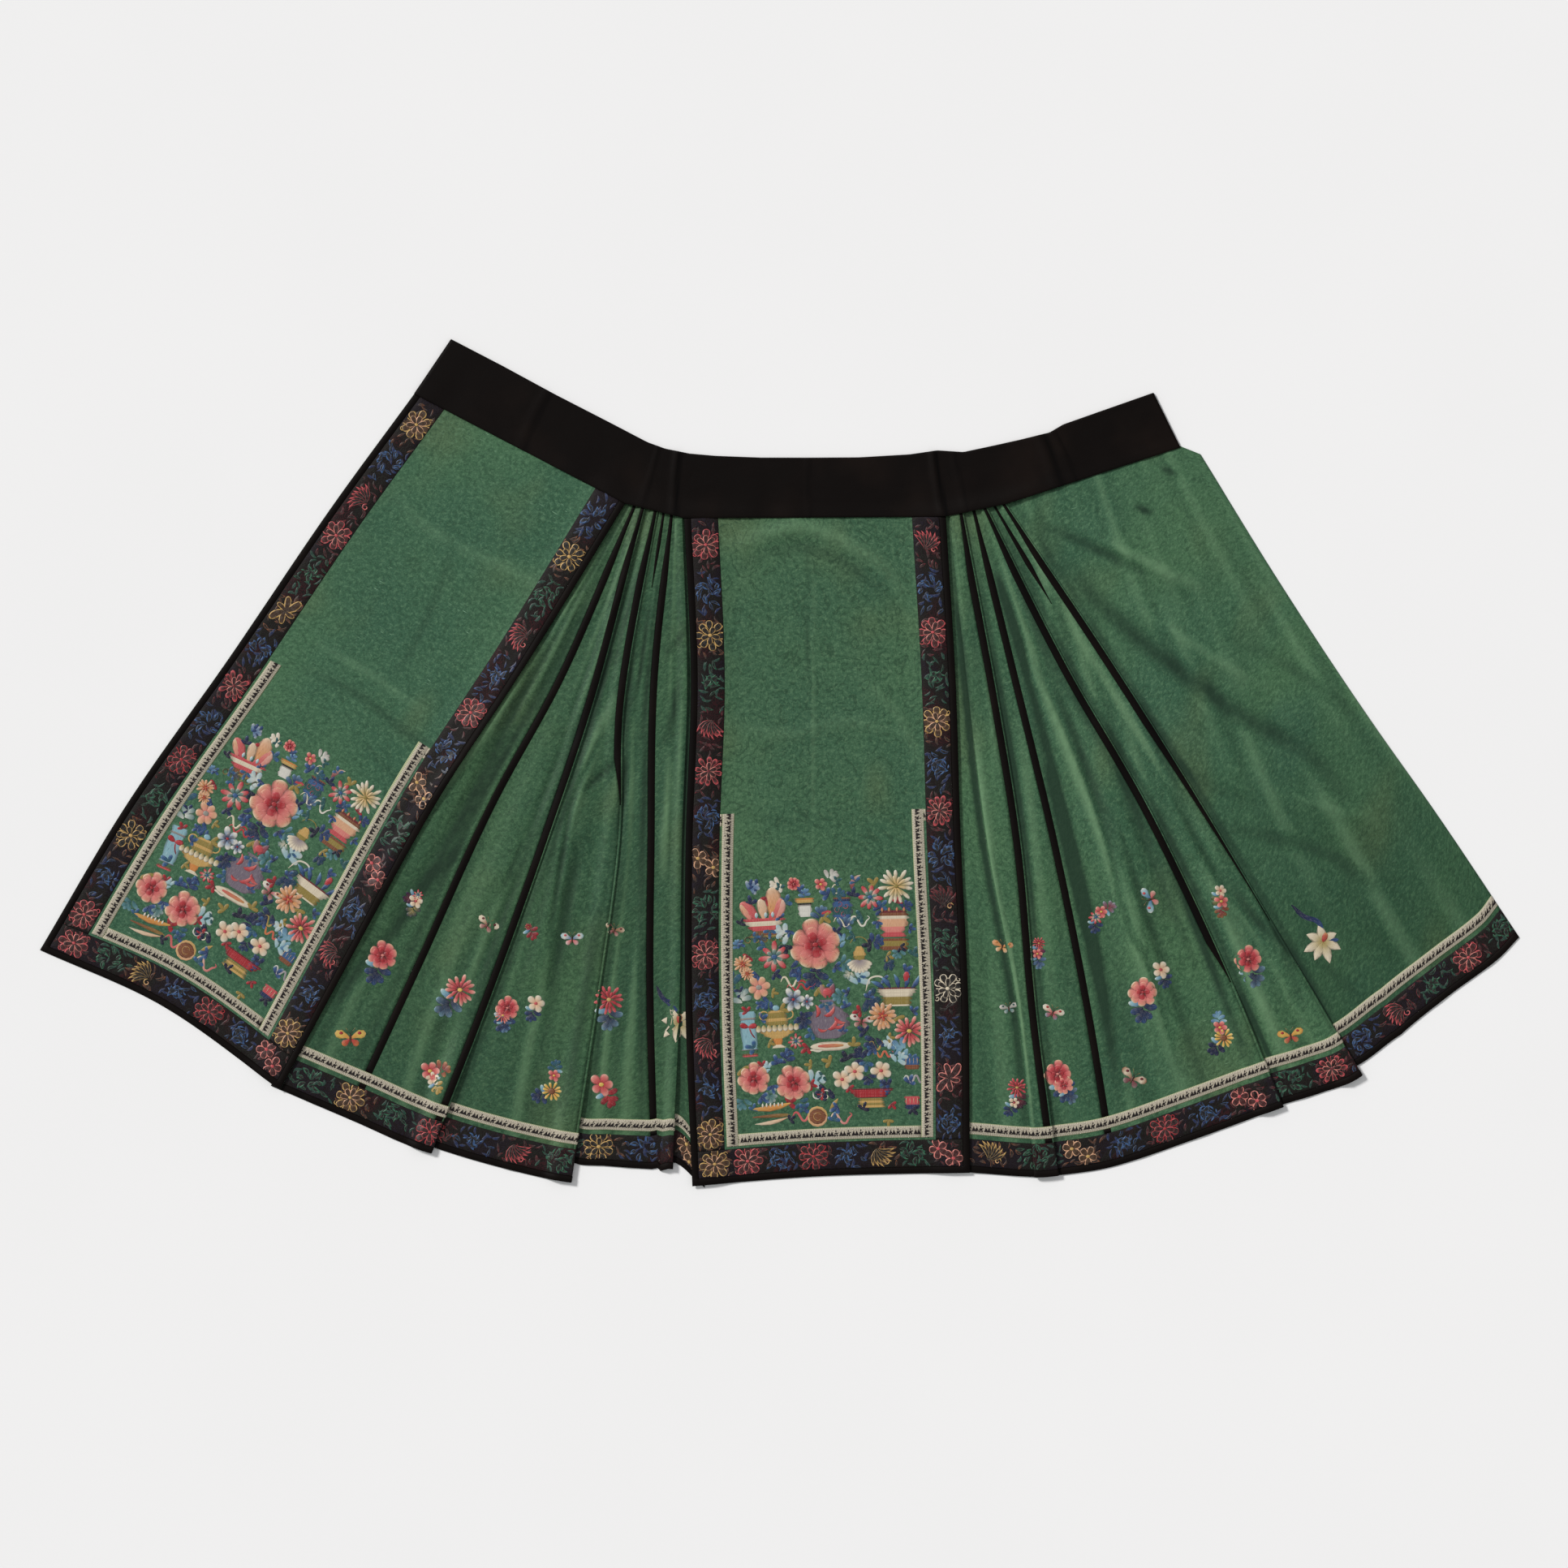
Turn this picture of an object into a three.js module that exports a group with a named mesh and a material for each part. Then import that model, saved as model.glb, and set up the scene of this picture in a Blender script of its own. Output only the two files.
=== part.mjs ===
// Pleated wrap skirt of silk damask, opened out and laid flat on its back, seen from above.
// Two flat panels with brocade borders, two fans of pleated gores, a plain panel and a satin waistband.
// Units are millimetres. X runs along the waistband, Y points from the hem to the waist, Z is up.
import * as THREE from 'three';

// Cloth and the gaps between sewn pieces
const CLOTH = 1.1;
const TRIM = 1.0;
const SEAM_GAP = 0.3;
const WAIST_GAP = 0.4;
const HALF_CLOTH = CLOTH / 2;
const TRIM_IN = HALF_CLOTH + SEAM_GAP;
const TRIM_OUT = TRIM_IN + TRIM;
const FOLD_ROOM = 0.2;

// Borders, measured inward from the cut edge
const BINDING = 9;
const BROCADE = 36;
const RIBBON = 16;
const PANEL_GAP = 3;
const FAN_GAP = 6;
const PANEL_FIELD = BINDING + BROCADE;
const PANEL_RIBBON_OUT = PANEL_FIELD + PANEL_GAP;
const PANEL_RIBBON_IN = PANEL_RIBBON_OUT + RIBBON;
const FAN_RIBBON_OUT = PANEL_FIELD + FAN_GAP;
const FAN_RIBBON_IN = FAN_RIBBON_OUT + RIBBON;
const SQUARE_TOP = 487;

// Rows run parallel to the hem up to here, then fade to an even share of each line's length
const HEM_PARALLEL = 200;
const HEM_FADE = 300;

// Pleats: sizes at the waist and at the hem
const LAP = { waist: 4.5, hem: 18 };
const BOX_LAP = { waist: 5, hem: 11 };
const RAMP = { waist: 3, hem: 16 };
const NARROW = { lap: 9, ramp: 5 };
const CLEAR = { waist: 1.5, hem: 4 };
const STRIPE_HALF = { waist: 2, body: 4.6, spread: 0.12 };
const THICK_HEM_END = 110;
const THIN_FROM = 180;
const TUCK_LEAD = 1.6;
const EDGE_INSET = 1.4;

// The panels' edges lie over the hidden edge of the fan next to them
const UNDER_LAP = 14;
const RAISED_EDGE = 4.2;
const RAISED_WIDTH = 22;
const RAISED_FOOT = 64;

// Rows of the grids that the pieces are cut from
const FAN_OPEN_ROWS = 12;
const PANEL_OPEN_ROWS = 7;
const SQUARE_ROWS = 6;

// The waistband
const BAND = { thickness: 3, swell: 4, swellDepth: 14, rows: 6 };

// The foot of the waistband, from left to right
const waistCorners = [
  { x: -484.4, y: 493.6 },
  { x: -203.6, y: 347.3 },
  { x: -127.0, y: 328.3 },
  { x: 220.9, y: 330.5 },
  { x: 299.7, y: 346.7 },
  { x: 531.9, y: 422.3 },
  { x: 560.0, y: 411.0 },
];

// Across the waistband: a place on its foot and the place above it on its top edge
const bandColumns = ['footX', 'topX', 'topY', 'swell'];
const bandRows = [
  [-484.4, -436.9, 563.8, 0.1],
  [-410, -368, 528, 0.1],
  [-335, -298.6, 490.3, 0.1],
  [-255, -226, 453, 0.3],
  [-203.6, -175.5, 426.6, 1],
  [-165, -151.7, 418.0, 1],
  [-127, -119.3, 411.5, 1],
  [-90, -85, 408.5, 0.6],
  [-25, -25, 406.2, 0.1],
  [37.3, 37.3, 406.1, 0.1],
  [105, 105, 406.5, 0.1],
  [172.3, 172.3, 410.4, 0.4],
  [220.9, 210.1, 415.8, 1],
  [258.7, 244.6, 413.6, 1],
  [299.7, 280.3, 421.2, 1],
  [345, 320, 430, 0.5],
  [388.3, 359.1, 439.6, 0.1],
  [415.3, 377.5, 450.4, 0.1],
  [470, 436, 471, 0.1],
  [531.9, 497.3, 492.5, 0.1],
];

// Lines from the waist down to the hem. The waist end is on the waistband's foot at waistX.
// Columns: waistX, then x and y a quarter, half and three quarters of the way down, then the hem.
const lines = {
  leftOuter: line(-484.4, [-599, 336], [-730, 143], [-869, -56], [-984, -249]),
  leftMiddle: line(-344, [-469, 233], [-598, 36], [-720, -158], [-822, -323]),
  leftInner: line(-203.6, [-335, 133], [-455, -52], [-566, -253], [-664, -435]),
  stripe1: line(-192, [-290, 116], [-383, -56], [-480, -268], [-575, -473]),
  fold2: line(-178, [-245, 86], [-308, -104], [-387, -322], [-464, -519]),
  fold3: line(-161.5, [-206, 79], [-212, -100], [-240, -310], [-278, -558]),
  crease4: line(-154, [-188, 100], [-193, -108], [-212, -300], [-235, -554]),
  stripe5: line(-143.5, [-167, 110], [-171, -115], [-172, -310], [-165, -545]),
  fold6: line(-129.5, [-123, 104], [-130, -110], [-133, -319], [-143, -540]),
  centreLeft: line(-127, [-118, 110], [-125, -110], [-125, -330], [-116, -563]),
  centreMiddle: line(46, [58, 108], [58, -112], [63, -325], [54, -550]),
  centreRight: line(220.9, [234, 110], [241, -105], [251, -322], [253, -545]),
  fold7: line(226, [250, 103], [277, -110], [316, -320], [340, -551]),
  fold8: line(244, [290, 90], [322, -110], [342, -329], [370, -549]),
  stripe9: line(258, [308, 133], [364, -100], [409, -323], [444, -537]),
  crease9: line(265, [345, 128], [425, -78], [500, -298], [560, -498]),
  fold10: line(275, [385, 125], [490, -57], [592, -269], [669, -458]),
  crease11: line(285, [406, 137], [515, -42], [630, -256], [722, -440]),
  fold12: line(300, [435, 146], [544, -26], [671, -239], [774, -416]),
  plainNear: line(375, [497, 180], [620, 10], [745, -180], [826, -362]),
  plainMiddle: line(455, [585, 242], [705, 70], [815, -100], [890, -310]),
  plainFar: line(531.9, [646, 257], [757, 86], [866, -70], [955, -262]),
  plainRight: line(560, [662, 245], [775, 73], [877, -72], [984, -232]),
};

// Long soft ridges in the cloth, in plan, with half their width and their height
const ridges = [
  { from: [-244, 240], through: [-455, -60], to: [-573, -300], half: 42, rise: 6 },
  { from: [-262, 110], through: [-345, -90], to: [-450, -350], half: 42, rise: 4 },
  { from: [-240, 60], through: [-285, -121], to: [-330, -330], half: 46, rise: 6 },
  { from: [402, 75], through: [462, -150], to: [520, -390], half: 52, rise: 7 },
  { from: [480, 10], through: [583, -180], to: [690, -370], half: 42, rise: 5 },
  { from: [400, 310], through: [500, 262], to: [562, 240], half: 42, rise: 7 },
  { from: [455, 225], through: [604, 125], to: [740, 5], half: 52, rise: 9 },
  { from: [490, 110], through: [600, 0], to: [745, -95], half: 55, rise: 8 },
  { from: [650, -150], through: [740, -184], to: [835, -240], half: 48, rise: 6 },
];

// Interpolation helpers
function mix(a, b, t) {
  return a + (b - a) * t;
}

function clamp01(t) {
  return Math.min(1, Math.max(0, t));
}

function smooth(t) {
  const u = clamp01(t);
  return u * u * (3 - 2 * u);
}

function range(count) {
  return Array.from({ length: count }, (_, index) => index);
}

// Height of the waistband's foot line at a given x
function waistPoint(x) {
  let k = 1;
  while (k < waistCorners.length - 1 && x > waistCorners[k].x) k += 1;
  const a = waistCorners[k - 1];
  const b = waistCorners[k];
  return [x, mix(a.y, b.y, (x - a.x) / (b.x - a.x))];
}

function line(waistX, upper, middle, lower, hem) {
  return { waistX, stations: [upper, middle, lower, hem] };
}

// A smooth curve down a line, starting just below the waistband
function lineCurve({ waistX, stations }) {
  const [x, y] = waistPoint(waistX);
  const points = [[x, y - WAIST_GAP], ...stations].map(([px, py]) => new THREE.Vector3(px, py, 0));
  const curve = new THREE.CatmullRomCurve3(points, false, 'centripetal');
  curve.length = curve.getLength();
  return curve;
}

// Rise of the soft ridges at a place in plan
function softRise(x, y) {
  let rise = 0;
  for (const ridge of ridgeCurves) {
    let share = 0;
    for (const spot of ridge.points) {
      const distance = Math.hypot(spot.x - x, spot.y - y);
      share = Math.max(share, spot.z * (1 - smooth(distance / ridge.half)));
    }
    rise += ridge.rise * share;
  }
  return rise;
}

// Each ridge as sample points, whose z holds the share of its height there: it fades towards both ends
function ridgeSamples({ from, through, to, half, rise }) {
  const curve = new THREE.CatmullRomCurve3([from, through, to].map(([x, y]) => new THREE.Vector3(x, y, 0)));
  const steps = 40;
  const points = curve.getSpacedPoints(steps);
  points.forEach((spot, index) => {
    spot.z = Math.pow(Math.sin((Math.PI * index) / steps), 0.6);
  });
  return { points, half, rise };
}

const ridgeCurves = ridges.map(ridgeSamples);

// Distances from the hem at which a sheet has a row, from the waist down
function rowDistances(borders, longest, openRows) {
  const first = borders[borders.length - 1];
  const open = range(openRows).map((k) => mix(longest, first, Math.pow(k / openRows, 1.15)));
  return [...open, ...[...borders].reverse()];
}

// A row across a sheet: a plan curve through its lines at one height, and its place from waist (0) to hem (1)
function makeRow(curves, hemDistance, longest) {
  const down = clamp01(1 - hemDistance / longest);
  const evenness = smooth((hemDistance - HEM_PARALLEL) / HEM_FADE);
  const points = curves.map((curve) => {
    const nearHem = 1 - hemDistance / curve.length;
    return curve.getPointAt(clamp01(mix(nearHem, down, evenness)));
  });
  const places = [0];
  for (let k = 1; k < points.length; k += 1) {
    places.push(places[k - 1] + points[k].distanceTo(points[k - 1]));
  }
  return { down, hemDistance, points, places, curl: smooth(down * 8) };
}

// Slope of a row's plan curve at one of its lines
function rowTangent(row, k) {
  const a = Math.max(0, k - 1);
  const b = Math.min(row.points.length - 1, k + 1);
  return row.points[b].clone().sub(row.points[a]).divideScalar(row.places[b] - row.places[a]);
}

// Place in plan at a distance along a row
function rowPoint(row, place) {
  const last = row.points.length - 1;
  let k = 0;
  while (k < last - 1 && place > row.places[k + 1]) k += 1;
  const span = row.places[k + 1] - row.places[k];
  const t = (place - row.places[k]) / span;
  const straight = row.points[k].clone().lerp(row.points[k + 1], t);
  if (t < 0 || t > 1) return straight;
  const cubic = row.points[k].clone().multiplyScalar(1 - smooth(t));
  cubic.addScaledVector(rowTangent(row, k), span * t * (1 - t) * (1 - t));
  cubic.addScaledVector(row.points[k + 1], smooth(t));
  cubic.addScaledVector(rowTangent(row, k + 1), span * t * t * (t - 1));
  return straight.lerp(cubic, row.curl);
}

// Unit direction in plan from the hem towards the waist
function rowUp(row, place) {
  const step = rowPoint(row, place + 2).sub(rowPoint(row, place - 2));
  return new THREE.Vector3(-step.y, step.x, 0).normalize();
}

// Heights of a pleat's three layers: near the hem they are further apart, for the borders between them
function pleatLevels(hemDistance) {
  const thick = 1 - clamp01((hemDistance - THICK_HEM_END) / (THIN_FROM - THICK_HEM_END));
  const outer = mix(HALF_CLOTH, TRIM_OUT, thick);
  const under = HALF_CLOTH + 2 * (outer + FOLD_ROOM);
  return {
    bottom: HALF_CLOTH,
    under,
    top: under + 2 * (HALF_CLOTH + FOLD_ROOM),
    turn: outer + FOLD_ROOM,
    tip: HALF_CLOTH + FOLD_ROOM,
  };
}

// Sizes of a pleat at a row
function pleatSizes(row) {
  const t = row.down;
  return {
    ...pleatLevels(row.hemDistance),
    lap: mix(LAP.waist, LAP.hem, Math.sqrt(t)),
    boxLap: mix(BOX_LAP.waist, BOX_LAP.hem, t),
    ramp: mix(RAMP.waist, RAMP.hem, Math.sqrt(t)),
    clear: mix(CLEAR.waist, CLEAR.hem, t),
    stripe: mix(STRIPE_HALF.waist, STRIPE_HALF.body, smooth(t / STRIPE_HALF.spread)),
  };
}

// A section is a list of points across a row: place along it, height, tuck towards the waist.
// A marker names the point that a piece starts or ends at.
function point(place, height, tuck = 0, marker = '') {
  return { place, height, tuck, marker };
}

// Knife pleat whose fold edge faces right, with a stripe along the edge when striped is true
function knifePleat(row, edge, size, lap, tuckUnder, name, striped) {
  const half = 2 * size.stripe;
  const foot = edge - lap;
  const deep = pleatLevels(row.hemDistance + TUCK_LEAD * tuckUnder);
  const middle = (deep.under + deep.bottom) / 2;
  const points = [point(foot - 2, size.top)];
  if (striped) {
    points.push(point(edge - EDGE_INSET - half, size.top, 0, `${name}:stripeStart`));
    points.push(point(edge - EDGE_INSET, size.top, 0, `${name}:stripeEnd`));
  }
  points.push(point(edge - size.tip, size.top));
  points.push(point(edge, (size.top + size.under) / 2));
  points.push(point(edge - size.tip, size.under));
  points.push(point(foot + deep.turn, deep.under, tuckUnder));
  points.push(point(foot, middle, tuckUnder));
  points.push(point(foot + deep.turn, deep.bottom, tuckUnder));
  points.push(point(edge + size.clear, deep.bottom, tuckUnder));
  return points;
}

// Pleat whose fold edge faces left: the cloth from the left runs under it
function leftPleat(edge, size) {
  const foot = edge + size.boxLap;
  const middle = (size.under + size.bottom) / 2;
  return [
    point(edge - size.clear, size.bottom),
    point(foot - size.turn, size.bottom),
    point(foot, middle),
    point(foot - size.turn, size.under),
    point(edge + size.tip, size.under),
    point(edge, (size.top + size.under) / 2),
    point(edge + size.tip, size.top),
  ];
}

function flatStripe(place, size, tuck, name) {
  return [
    point(place - size.stripe, size.bottom, tuck, `${name}:stripeStart`),
    point(place + size.stripe, size.bottom, tuck, `${name}:stripeEnd`),
  ];
}

// Evenly spaced flat points strictly between two places
function between(from, to, count, height, tuckFrom = 0, tuckTo = 0) {
  return range(count).map((k) => {
    const t = (k + 1) / (count + 1);
    return point(mix(from, to, t), height, mix(tuckFrom, tuckTo, t));
  });
}

// Tucks of the hem where one gore lies over the next
const HEM_STEP = { fold2: 8, fold3: 26, fold6: 9, fold10: 3, fold12: 14 };

function hemStep(name, row) {
  return HEM_STEP[name] * Math.pow(row.down, 3);
}

// Section across the left fan, from under the left panel to under the centre panel
function leftFanSection(row) {
  const size = pleatSizes(row);
  const [start, stripe1, fold2, fold3, crease4, stripe5, fold6, end] = row.places;
  const step2 = hemStep('fold2', row);
  const step3 = hemStep('fold3', row);
  const step6 = hemStep('fold6', row);
  const rampFoot = (edge) => edge - size.lap - 2 - size.ramp;
  const narrowLap = mix(LAP.waist, NARROW.lap, row.down);
  const narrowRamp = mix(RAMP.waist, NARROW.ramp, row.down);
  const flat = size.bottom;
  return [
    point(start - UNDER_LAP, flat, 0, 'start'),
    point(start + size.clear, flat),
    ...between(start + size.clear, stripe1 - size.stripe, 3, flat),
    ...flatStripe(stripe1, size, 0, 'stripe1'),
    ...between(stripe1 + size.stripe, rampFoot(fold2), 1, flat),
    point(rampFoot(fold2), flat),
    ...knifePleat(row, fold2, size, size.lap, step2, 'stripe2', true),
    ...between(fold2 + size.clear, rampFoot(fold3), 3, flat, step2, 0),
    point(rampFoot(fold3), flat),
    ...knifePleat(row, fold3, size, size.lap, step3, 'stripe3', true),
    ...flatStripe(crease4, { ...size, stripe: size.stripe * 0.8 }, step3 * 0.7, 'stripe4'),
    ...flatStripe(stripe5, size, step3 * 0.2, 'stripe5'),
    point(fold6 - narrowLap - 2 - narrowRamp, flat),
    ...knifePleat(row, fold6, { ...size, clear: 1.5 }, narrowLap, step6, 'edge6', false),
    point(end + UNDER_LAP, flat, step6, 'end'),
  ];
}

// Section across the right fan and the plain panel
function rightFanSection(row) {
  const size = pleatSizes(row);
  const [start, fold7, fold8, stripe9, , fold10, crease11, fold12, near, middle, far, end] = row.places;
  const step10 = hemStep('fold10', row);
  const step12 = hemStep('fold12', row);
  const rampFoot = (edge) => edge - size.lap - 2 - size.ramp;
  const flat = size.bottom;
  return [
    point(start - UNDER_LAP, flat, 0, 'start'),
    ...between(start - UNDER_LAP, fold7 - size.clear, 2, flat),
    ...leftPleat(fold7, size),
    ...knifePleat(row, fold8, size, size.boxLap, 0, 'stripe8', true).slice(1),
    ...flatStripe(stripe9, size, 0, 'stripe9'),
    ...between(stripe9 + size.stripe, rampFoot(fold10), 4, flat),
    point(rampFoot(fold10), flat),
    ...knifePleat(row, fold10, size, size.lap, step10, 'stripe10', true),
    ...flatStripe(crease11, { ...size, stripe: size.stripe * 0.8 }, step10 * 0.5, 'stripe11'),
    point(rampFoot(fold12) + size.ramp * 0.2, flat),
    ...knifePleat(row, fold12, size, size.lap, step12, 'stripe12', true),
    ...between(fold12 + size.clear, near, 1, flat, step12, 0),
    point(near, flat),
    ...between(near, middle, 1, flat),
    point(middle, flat),
    ...between(middle, far, 1, flat),
    point(far, flat),
    point(end, flat, 0, 'end'),
  ];
}

// Height of a panel's cloth at a distance from an edge that lies over its neighbour
function raisedHeight(distance, raised) {
  const fall = smooth((distance - RAISED_WIDTH) / (RAISED_FOOT - RAISED_WIDTH));
  return raised ? mix(RAISED_EDGE, HALF_CLOTH, fall) : HALF_CLOTH;
}

// Section across a flat panel with borders at both sides
function panelSection(row, raisedLeft, raisedRight) {
  const width = row.places[row.places.length - 1];
  const borders = [0, BINDING, PANEL_FIELD, PANEL_RIBBON_OUT, PANEL_RIBBON_IN];
  const inner = range(5).map((k) => mix(PANEL_RIBBON_IN, width - PANEL_RIBBON_IN, (k + 1) / 6));
  const right = [...borders].reverse().map((distance) => width - distance);
  return [
    ...borders.map((distance) => point(distance, raisedHeight(distance, raisedLeft))),
    ...inner.map((place) => point(place, HALF_CLOTH)),
    ...right.map((place) => point(place, raisedHeight(width - place, raisedRight))),
  ];
}

// Mitred offset directions of a section, in its own plane of place and height
function sectionNormals(section) {
  return section.map((_, index) => {
    const before = section[Math.max(0, index - 1)];
    const here = section[index];
    const after = section[Math.min(section.length - 1, index + 1)];
    const first = unitNormal(before, here) ?? unitNormal(here, after);
    const second = unitNormal(here, after) ?? first;
    const scale = 1 / (1 + first.x * second.x + first.y * second.y);
    return { x: (first.x + second.x) * scale, y: (first.y + second.y) * scale };
  });
}

function unitNormal(a, b) {
  const dx = b.place - a.place;
  const dz = b.height - a.height;
  const length = Math.hypot(dx, dz);
  return length > 0 ? { x: -dz / length, y: dx / length } : null;
}

// A sheet keeps its rows, sections and markers. Its surface at any offset comes from surfacePoint.
function makeSheet(names, distances, longest, sectionOf) {
  const curves = names.map((name) => lineCurve(lines[name]));
  const rows = distances.map((hemDistance) => makeRow(curves, hemDistance, longest));
  const sections = rows.map(sectionOf);
  const normals = sections.map(sectionNormals);
  const softs = sections.map((section, j) => softAlong(rows[j], section));
  const markers = {};
  sections[0].forEach(({ marker }, index) => {
    if (marker) markers[marker] = index;
  });
  return { rows, sections, normals, softs, markers, columns: sections[0].length };
}

// Soft rise at each point of a section: layers of one pleat share a straight line of rise between its ends
function softAlong(row, section) {
  const furthest = [];
  let reach = -Infinity;
  section.forEach((item, index) => {
    const restLow = Math.min(...section.slice(index).map((other) => other.place));
    if (item.place >= reach && item.place <= restLow) furthest.push(index);
    reach = Math.max(reach, item.place);
  });
  const knots = furthest.map((index) => {
    const place = section[index].place;
    const at = rowPoint(row, place);
    return { place, rise: softRise(at.x, at.y) };
  });
  return section.map(({ place }) => {
    let k = 0;
    while (k < knots.length - 2 && place > knots[k + 1].place) k += 1;
    const t = clamp01((place - knots[k].place) / (knots[k + 1].place - knots[k].place));
    return mix(knots[k].rise, knots[k + 1].rise, t);
  });
}

function surfacePoint(sheet, i, j, offset) {
  const { place, height, tuck } = sheet.sections[j][i];
  const normal = sheet.normals[j][i];
  const along = place + normal.x * offset;
  const spot = rowPoint(sheet.rows[j], along);
  spot.addScaledVector(rowUp(sheet.rows[j], along), tuck);
  spot.z = height + normal.y * offset + sheet.softs[j][i];
  return spot;
}

// A piece of a sheet is a set of cells, each named by its lower column and row index
function cellBlock(columnFrom, columnTo, rowFrom, rowTo) {
  const cells = [];
  for (let i = columnFrom; i < columnTo; i += 1) {
    for (let j = rowFrom; j < rowTo; j += 1) cells.push([i, j]);
  }
  return cells;
}

// Closed wall between two offsets of a sheet over a set of cells, drawn in by half a seam gap all round.
// Where a pleat's layer runs back to the left its cells are split the other way, to keep layers parallel.
function wallGeometry(sheet, cells, inner, outer) {
  const present = new Set(cells.map(([i, j]) => `${i},${j}`));
  const has = (i, j) => (present.has(`${i},${j}`) ? 1 : 0);
  const corners = new Map();
  const positions = [];

  function corner(i, j) {
    const key = `${i},${j}`;
    if (!corners.has(key)) {
      const towardRight = Math.sign(has(i, j) + has(i, j - 1) - has(i - 1, j) - has(i - 1, j - 1));
      const towardHem = Math.sign(has(i, j) + has(i - 1, j) - has(i, j - 1) - has(i - 1, j - 1));
      const low = drawnIn(sheet, i, j, inner, towardRight, towardHem);
      const high = drawnIn(sheet, i, j, outer, towardRight, towardHem);
      corners.set(key, positions.length / 3);
      positions.push(low.x, low.y, low.z, high.x, high.y, high.z);
    }
    return corners.get(key);
  }

  const faces = [];
  for (const [i, j] of cells) {
    const a = corner(i, j);
    const b = corner(i + 1, j);
    const c = corner(i + 1, j + 1);
    const d = corner(i, j + 1);
    if (sheet.sections[j][i + 1].place < sheet.sections[j][i].place) {
      faces.push([a + 1, d + 1, b + 1], [b + 1, d + 1, c + 1], [a, b, d], [b, c, d]);
    } else {
      faces.push([a + 1, d + 1, c + 1], [a + 1, c + 1, b + 1], [a, c, d], [a, b, c]);
    }
    if (!has(i, j - 1)) faces.push([a, a + 1, b + 1], [a, b + 1, b]);
    if (!has(i + 1, j)) faces.push([b, b + 1, c + 1], [b, c + 1, c]);
    if (!has(i, j + 1)) faces.push([c, c + 1, d + 1], [c, d + 1, d]);
    if (!has(i - 1, j)) faces.push([d, d + 1, a + 1], [d, a + 1, a]);
  }
  const geometry = new THREE.BufferGeometry();
  geometry.setAttribute('position', new THREE.Float32BufferAttribute(positions, 3));
  geometry.setIndex(faces.flat());
  geometry.computeVertexNormals();
  return geometry;
}

// A surface point moved half a seam gap towards its neighbours in the piece
function drawnIn(sheet, i, j, offset, towardRight, towardHem) {
  const here = surfacePoint(sheet, i, j, offset);
  const moved = here.clone();
  for (const [di, dj] of [[towardRight, 0], [0, towardHem]]) {
    if (di !== 0 || dj !== 0) {
      const step = surfacePoint(sheet, i + di, j + dj, offset).sub(here);
      moved.addScaledVector(step.normalize(), SEAM_GAP / 2);
    }
  }
  return moved;
}

const materials = {
  silk: () => new THREE.MeshStandardMaterial({ color: 0x48704f, roughness: 0.55, metalness: 0 }),
  satin: () => new THREE.MeshStandardMaterial({ color: 0x181212, roughness: 0.45, metalness: 0 }),
  brocade: () => new THREE.MeshStandardMaterial({ color: 0x3a1f2a, roughness: 0.7, metalness: 0 }),
  ribbon: () => new THREE.MeshStandardMaterial({ color: 0xc4bfae, roughness: 0.75, metalness: 0 }),
};

const group = new THREE.Group();

function addPiece(name, geometry, material) {
  const mesh = new THREE.Mesh(geometry, materials[material]());
  mesh.name = name;
  group.add(mesh);
}

function addCloth(name, sheet, cells) {
  addPiece(name, wallGeometry(sheet, cells, -HALF_CLOTH, HALF_CLOTH), 'silk');
}

function addTrim(name, sheet, cells, material) {
  addPiece(name, wallGeometry(sheet, cells, TRIM_IN, TRIM_OUT), material);
}

// Index of the row at a distance from the hem
function rowAt(sheet, hemDistance) {
  return sheet.rows.findIndex((row) => Math.abs(row.hemDistance - hemDistance) < 0.01);
}

// A bordered panel: ground, binding, three brocade strips and a ribbon round the embroidered square
function addPanel(side, names, longest, raisedLeft, raisedRight) {
  const square = range(SQUARE_ROWS).map((k) => mix(PANEL_RIBBON_IN, SQUARE_TOP, (k + 1) / SQUARE_ROWS));
  const borders = [0, BINDING, PANEL_FIELD, PANEL_RIBBON_OUT, PANEL_RIBBON_IN, ...square];
  const distances = rowDistances(borders, longest, PANEL_OPEN_ROWS);
  const sheet = makeSheet(names, distances, longest, (row) => panelSection(row, raisedLeft, raisedRight));
  const last = sheet.columns - 1;
  const hem = sheet.rows.length - 1;
  const [binding, field, ribbonOut, ribbonIn] = [1, 2, 3, 4];
  const bindingRow = rowAt(sheet, BINDING);
  const fieldRow = rowAt(sheet, PANEL_FIELD);
  const ribbonOutRow = rowAt(sheet, PANEL_RIBBON_OUT);
  const ribbonInRow = rowAt(sheet, PANEL_RIBBON_IN);
  const squareRow = rowAt(sheet, SQUARE_TOP);
  addCloth(`${side}_ground`, sheet, cellBlock(0, last, 0, hem));
  addTrim(`${side}_binding`, sheet, [
    ...cellBlock(0, binding, 0, hem),
    ...cellBlock(binding, last - binding, bindingRow, hem),
    ...cellBlock(last - binding, last, 0, hem),
  ], 'satin');
  addTrim(`${side}_brocade_left`, sheet, cellBlock(binding, field, 0, fieldRow), 'brocade');
  const foot = cellBlock(binding, last - binding, fieldRow, bindingRow);
  addTrim(`${side}_brocade_bottom`, sheet, foot, 'brocade');
  addTrim(`${side}_brocade_right`, sheet, cellBlock(last - field, last - binding, 0, fieldRow), 'brocade');
  addTrim(`${side}_ribbon`, sheet, [
    ...cellBlock(ribbonOut, ribbonIn, squareRow, ribbonOutRow),
    ...cellBlock(ribbonIn, last - ribbonIn, ribbonInRow, ribbonOutRow),
    ...cellBlock(last - ribbonIn, last - ribbonOut, squareRow, ribbonOutRow),
  ], 'ribbon');
}

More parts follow.
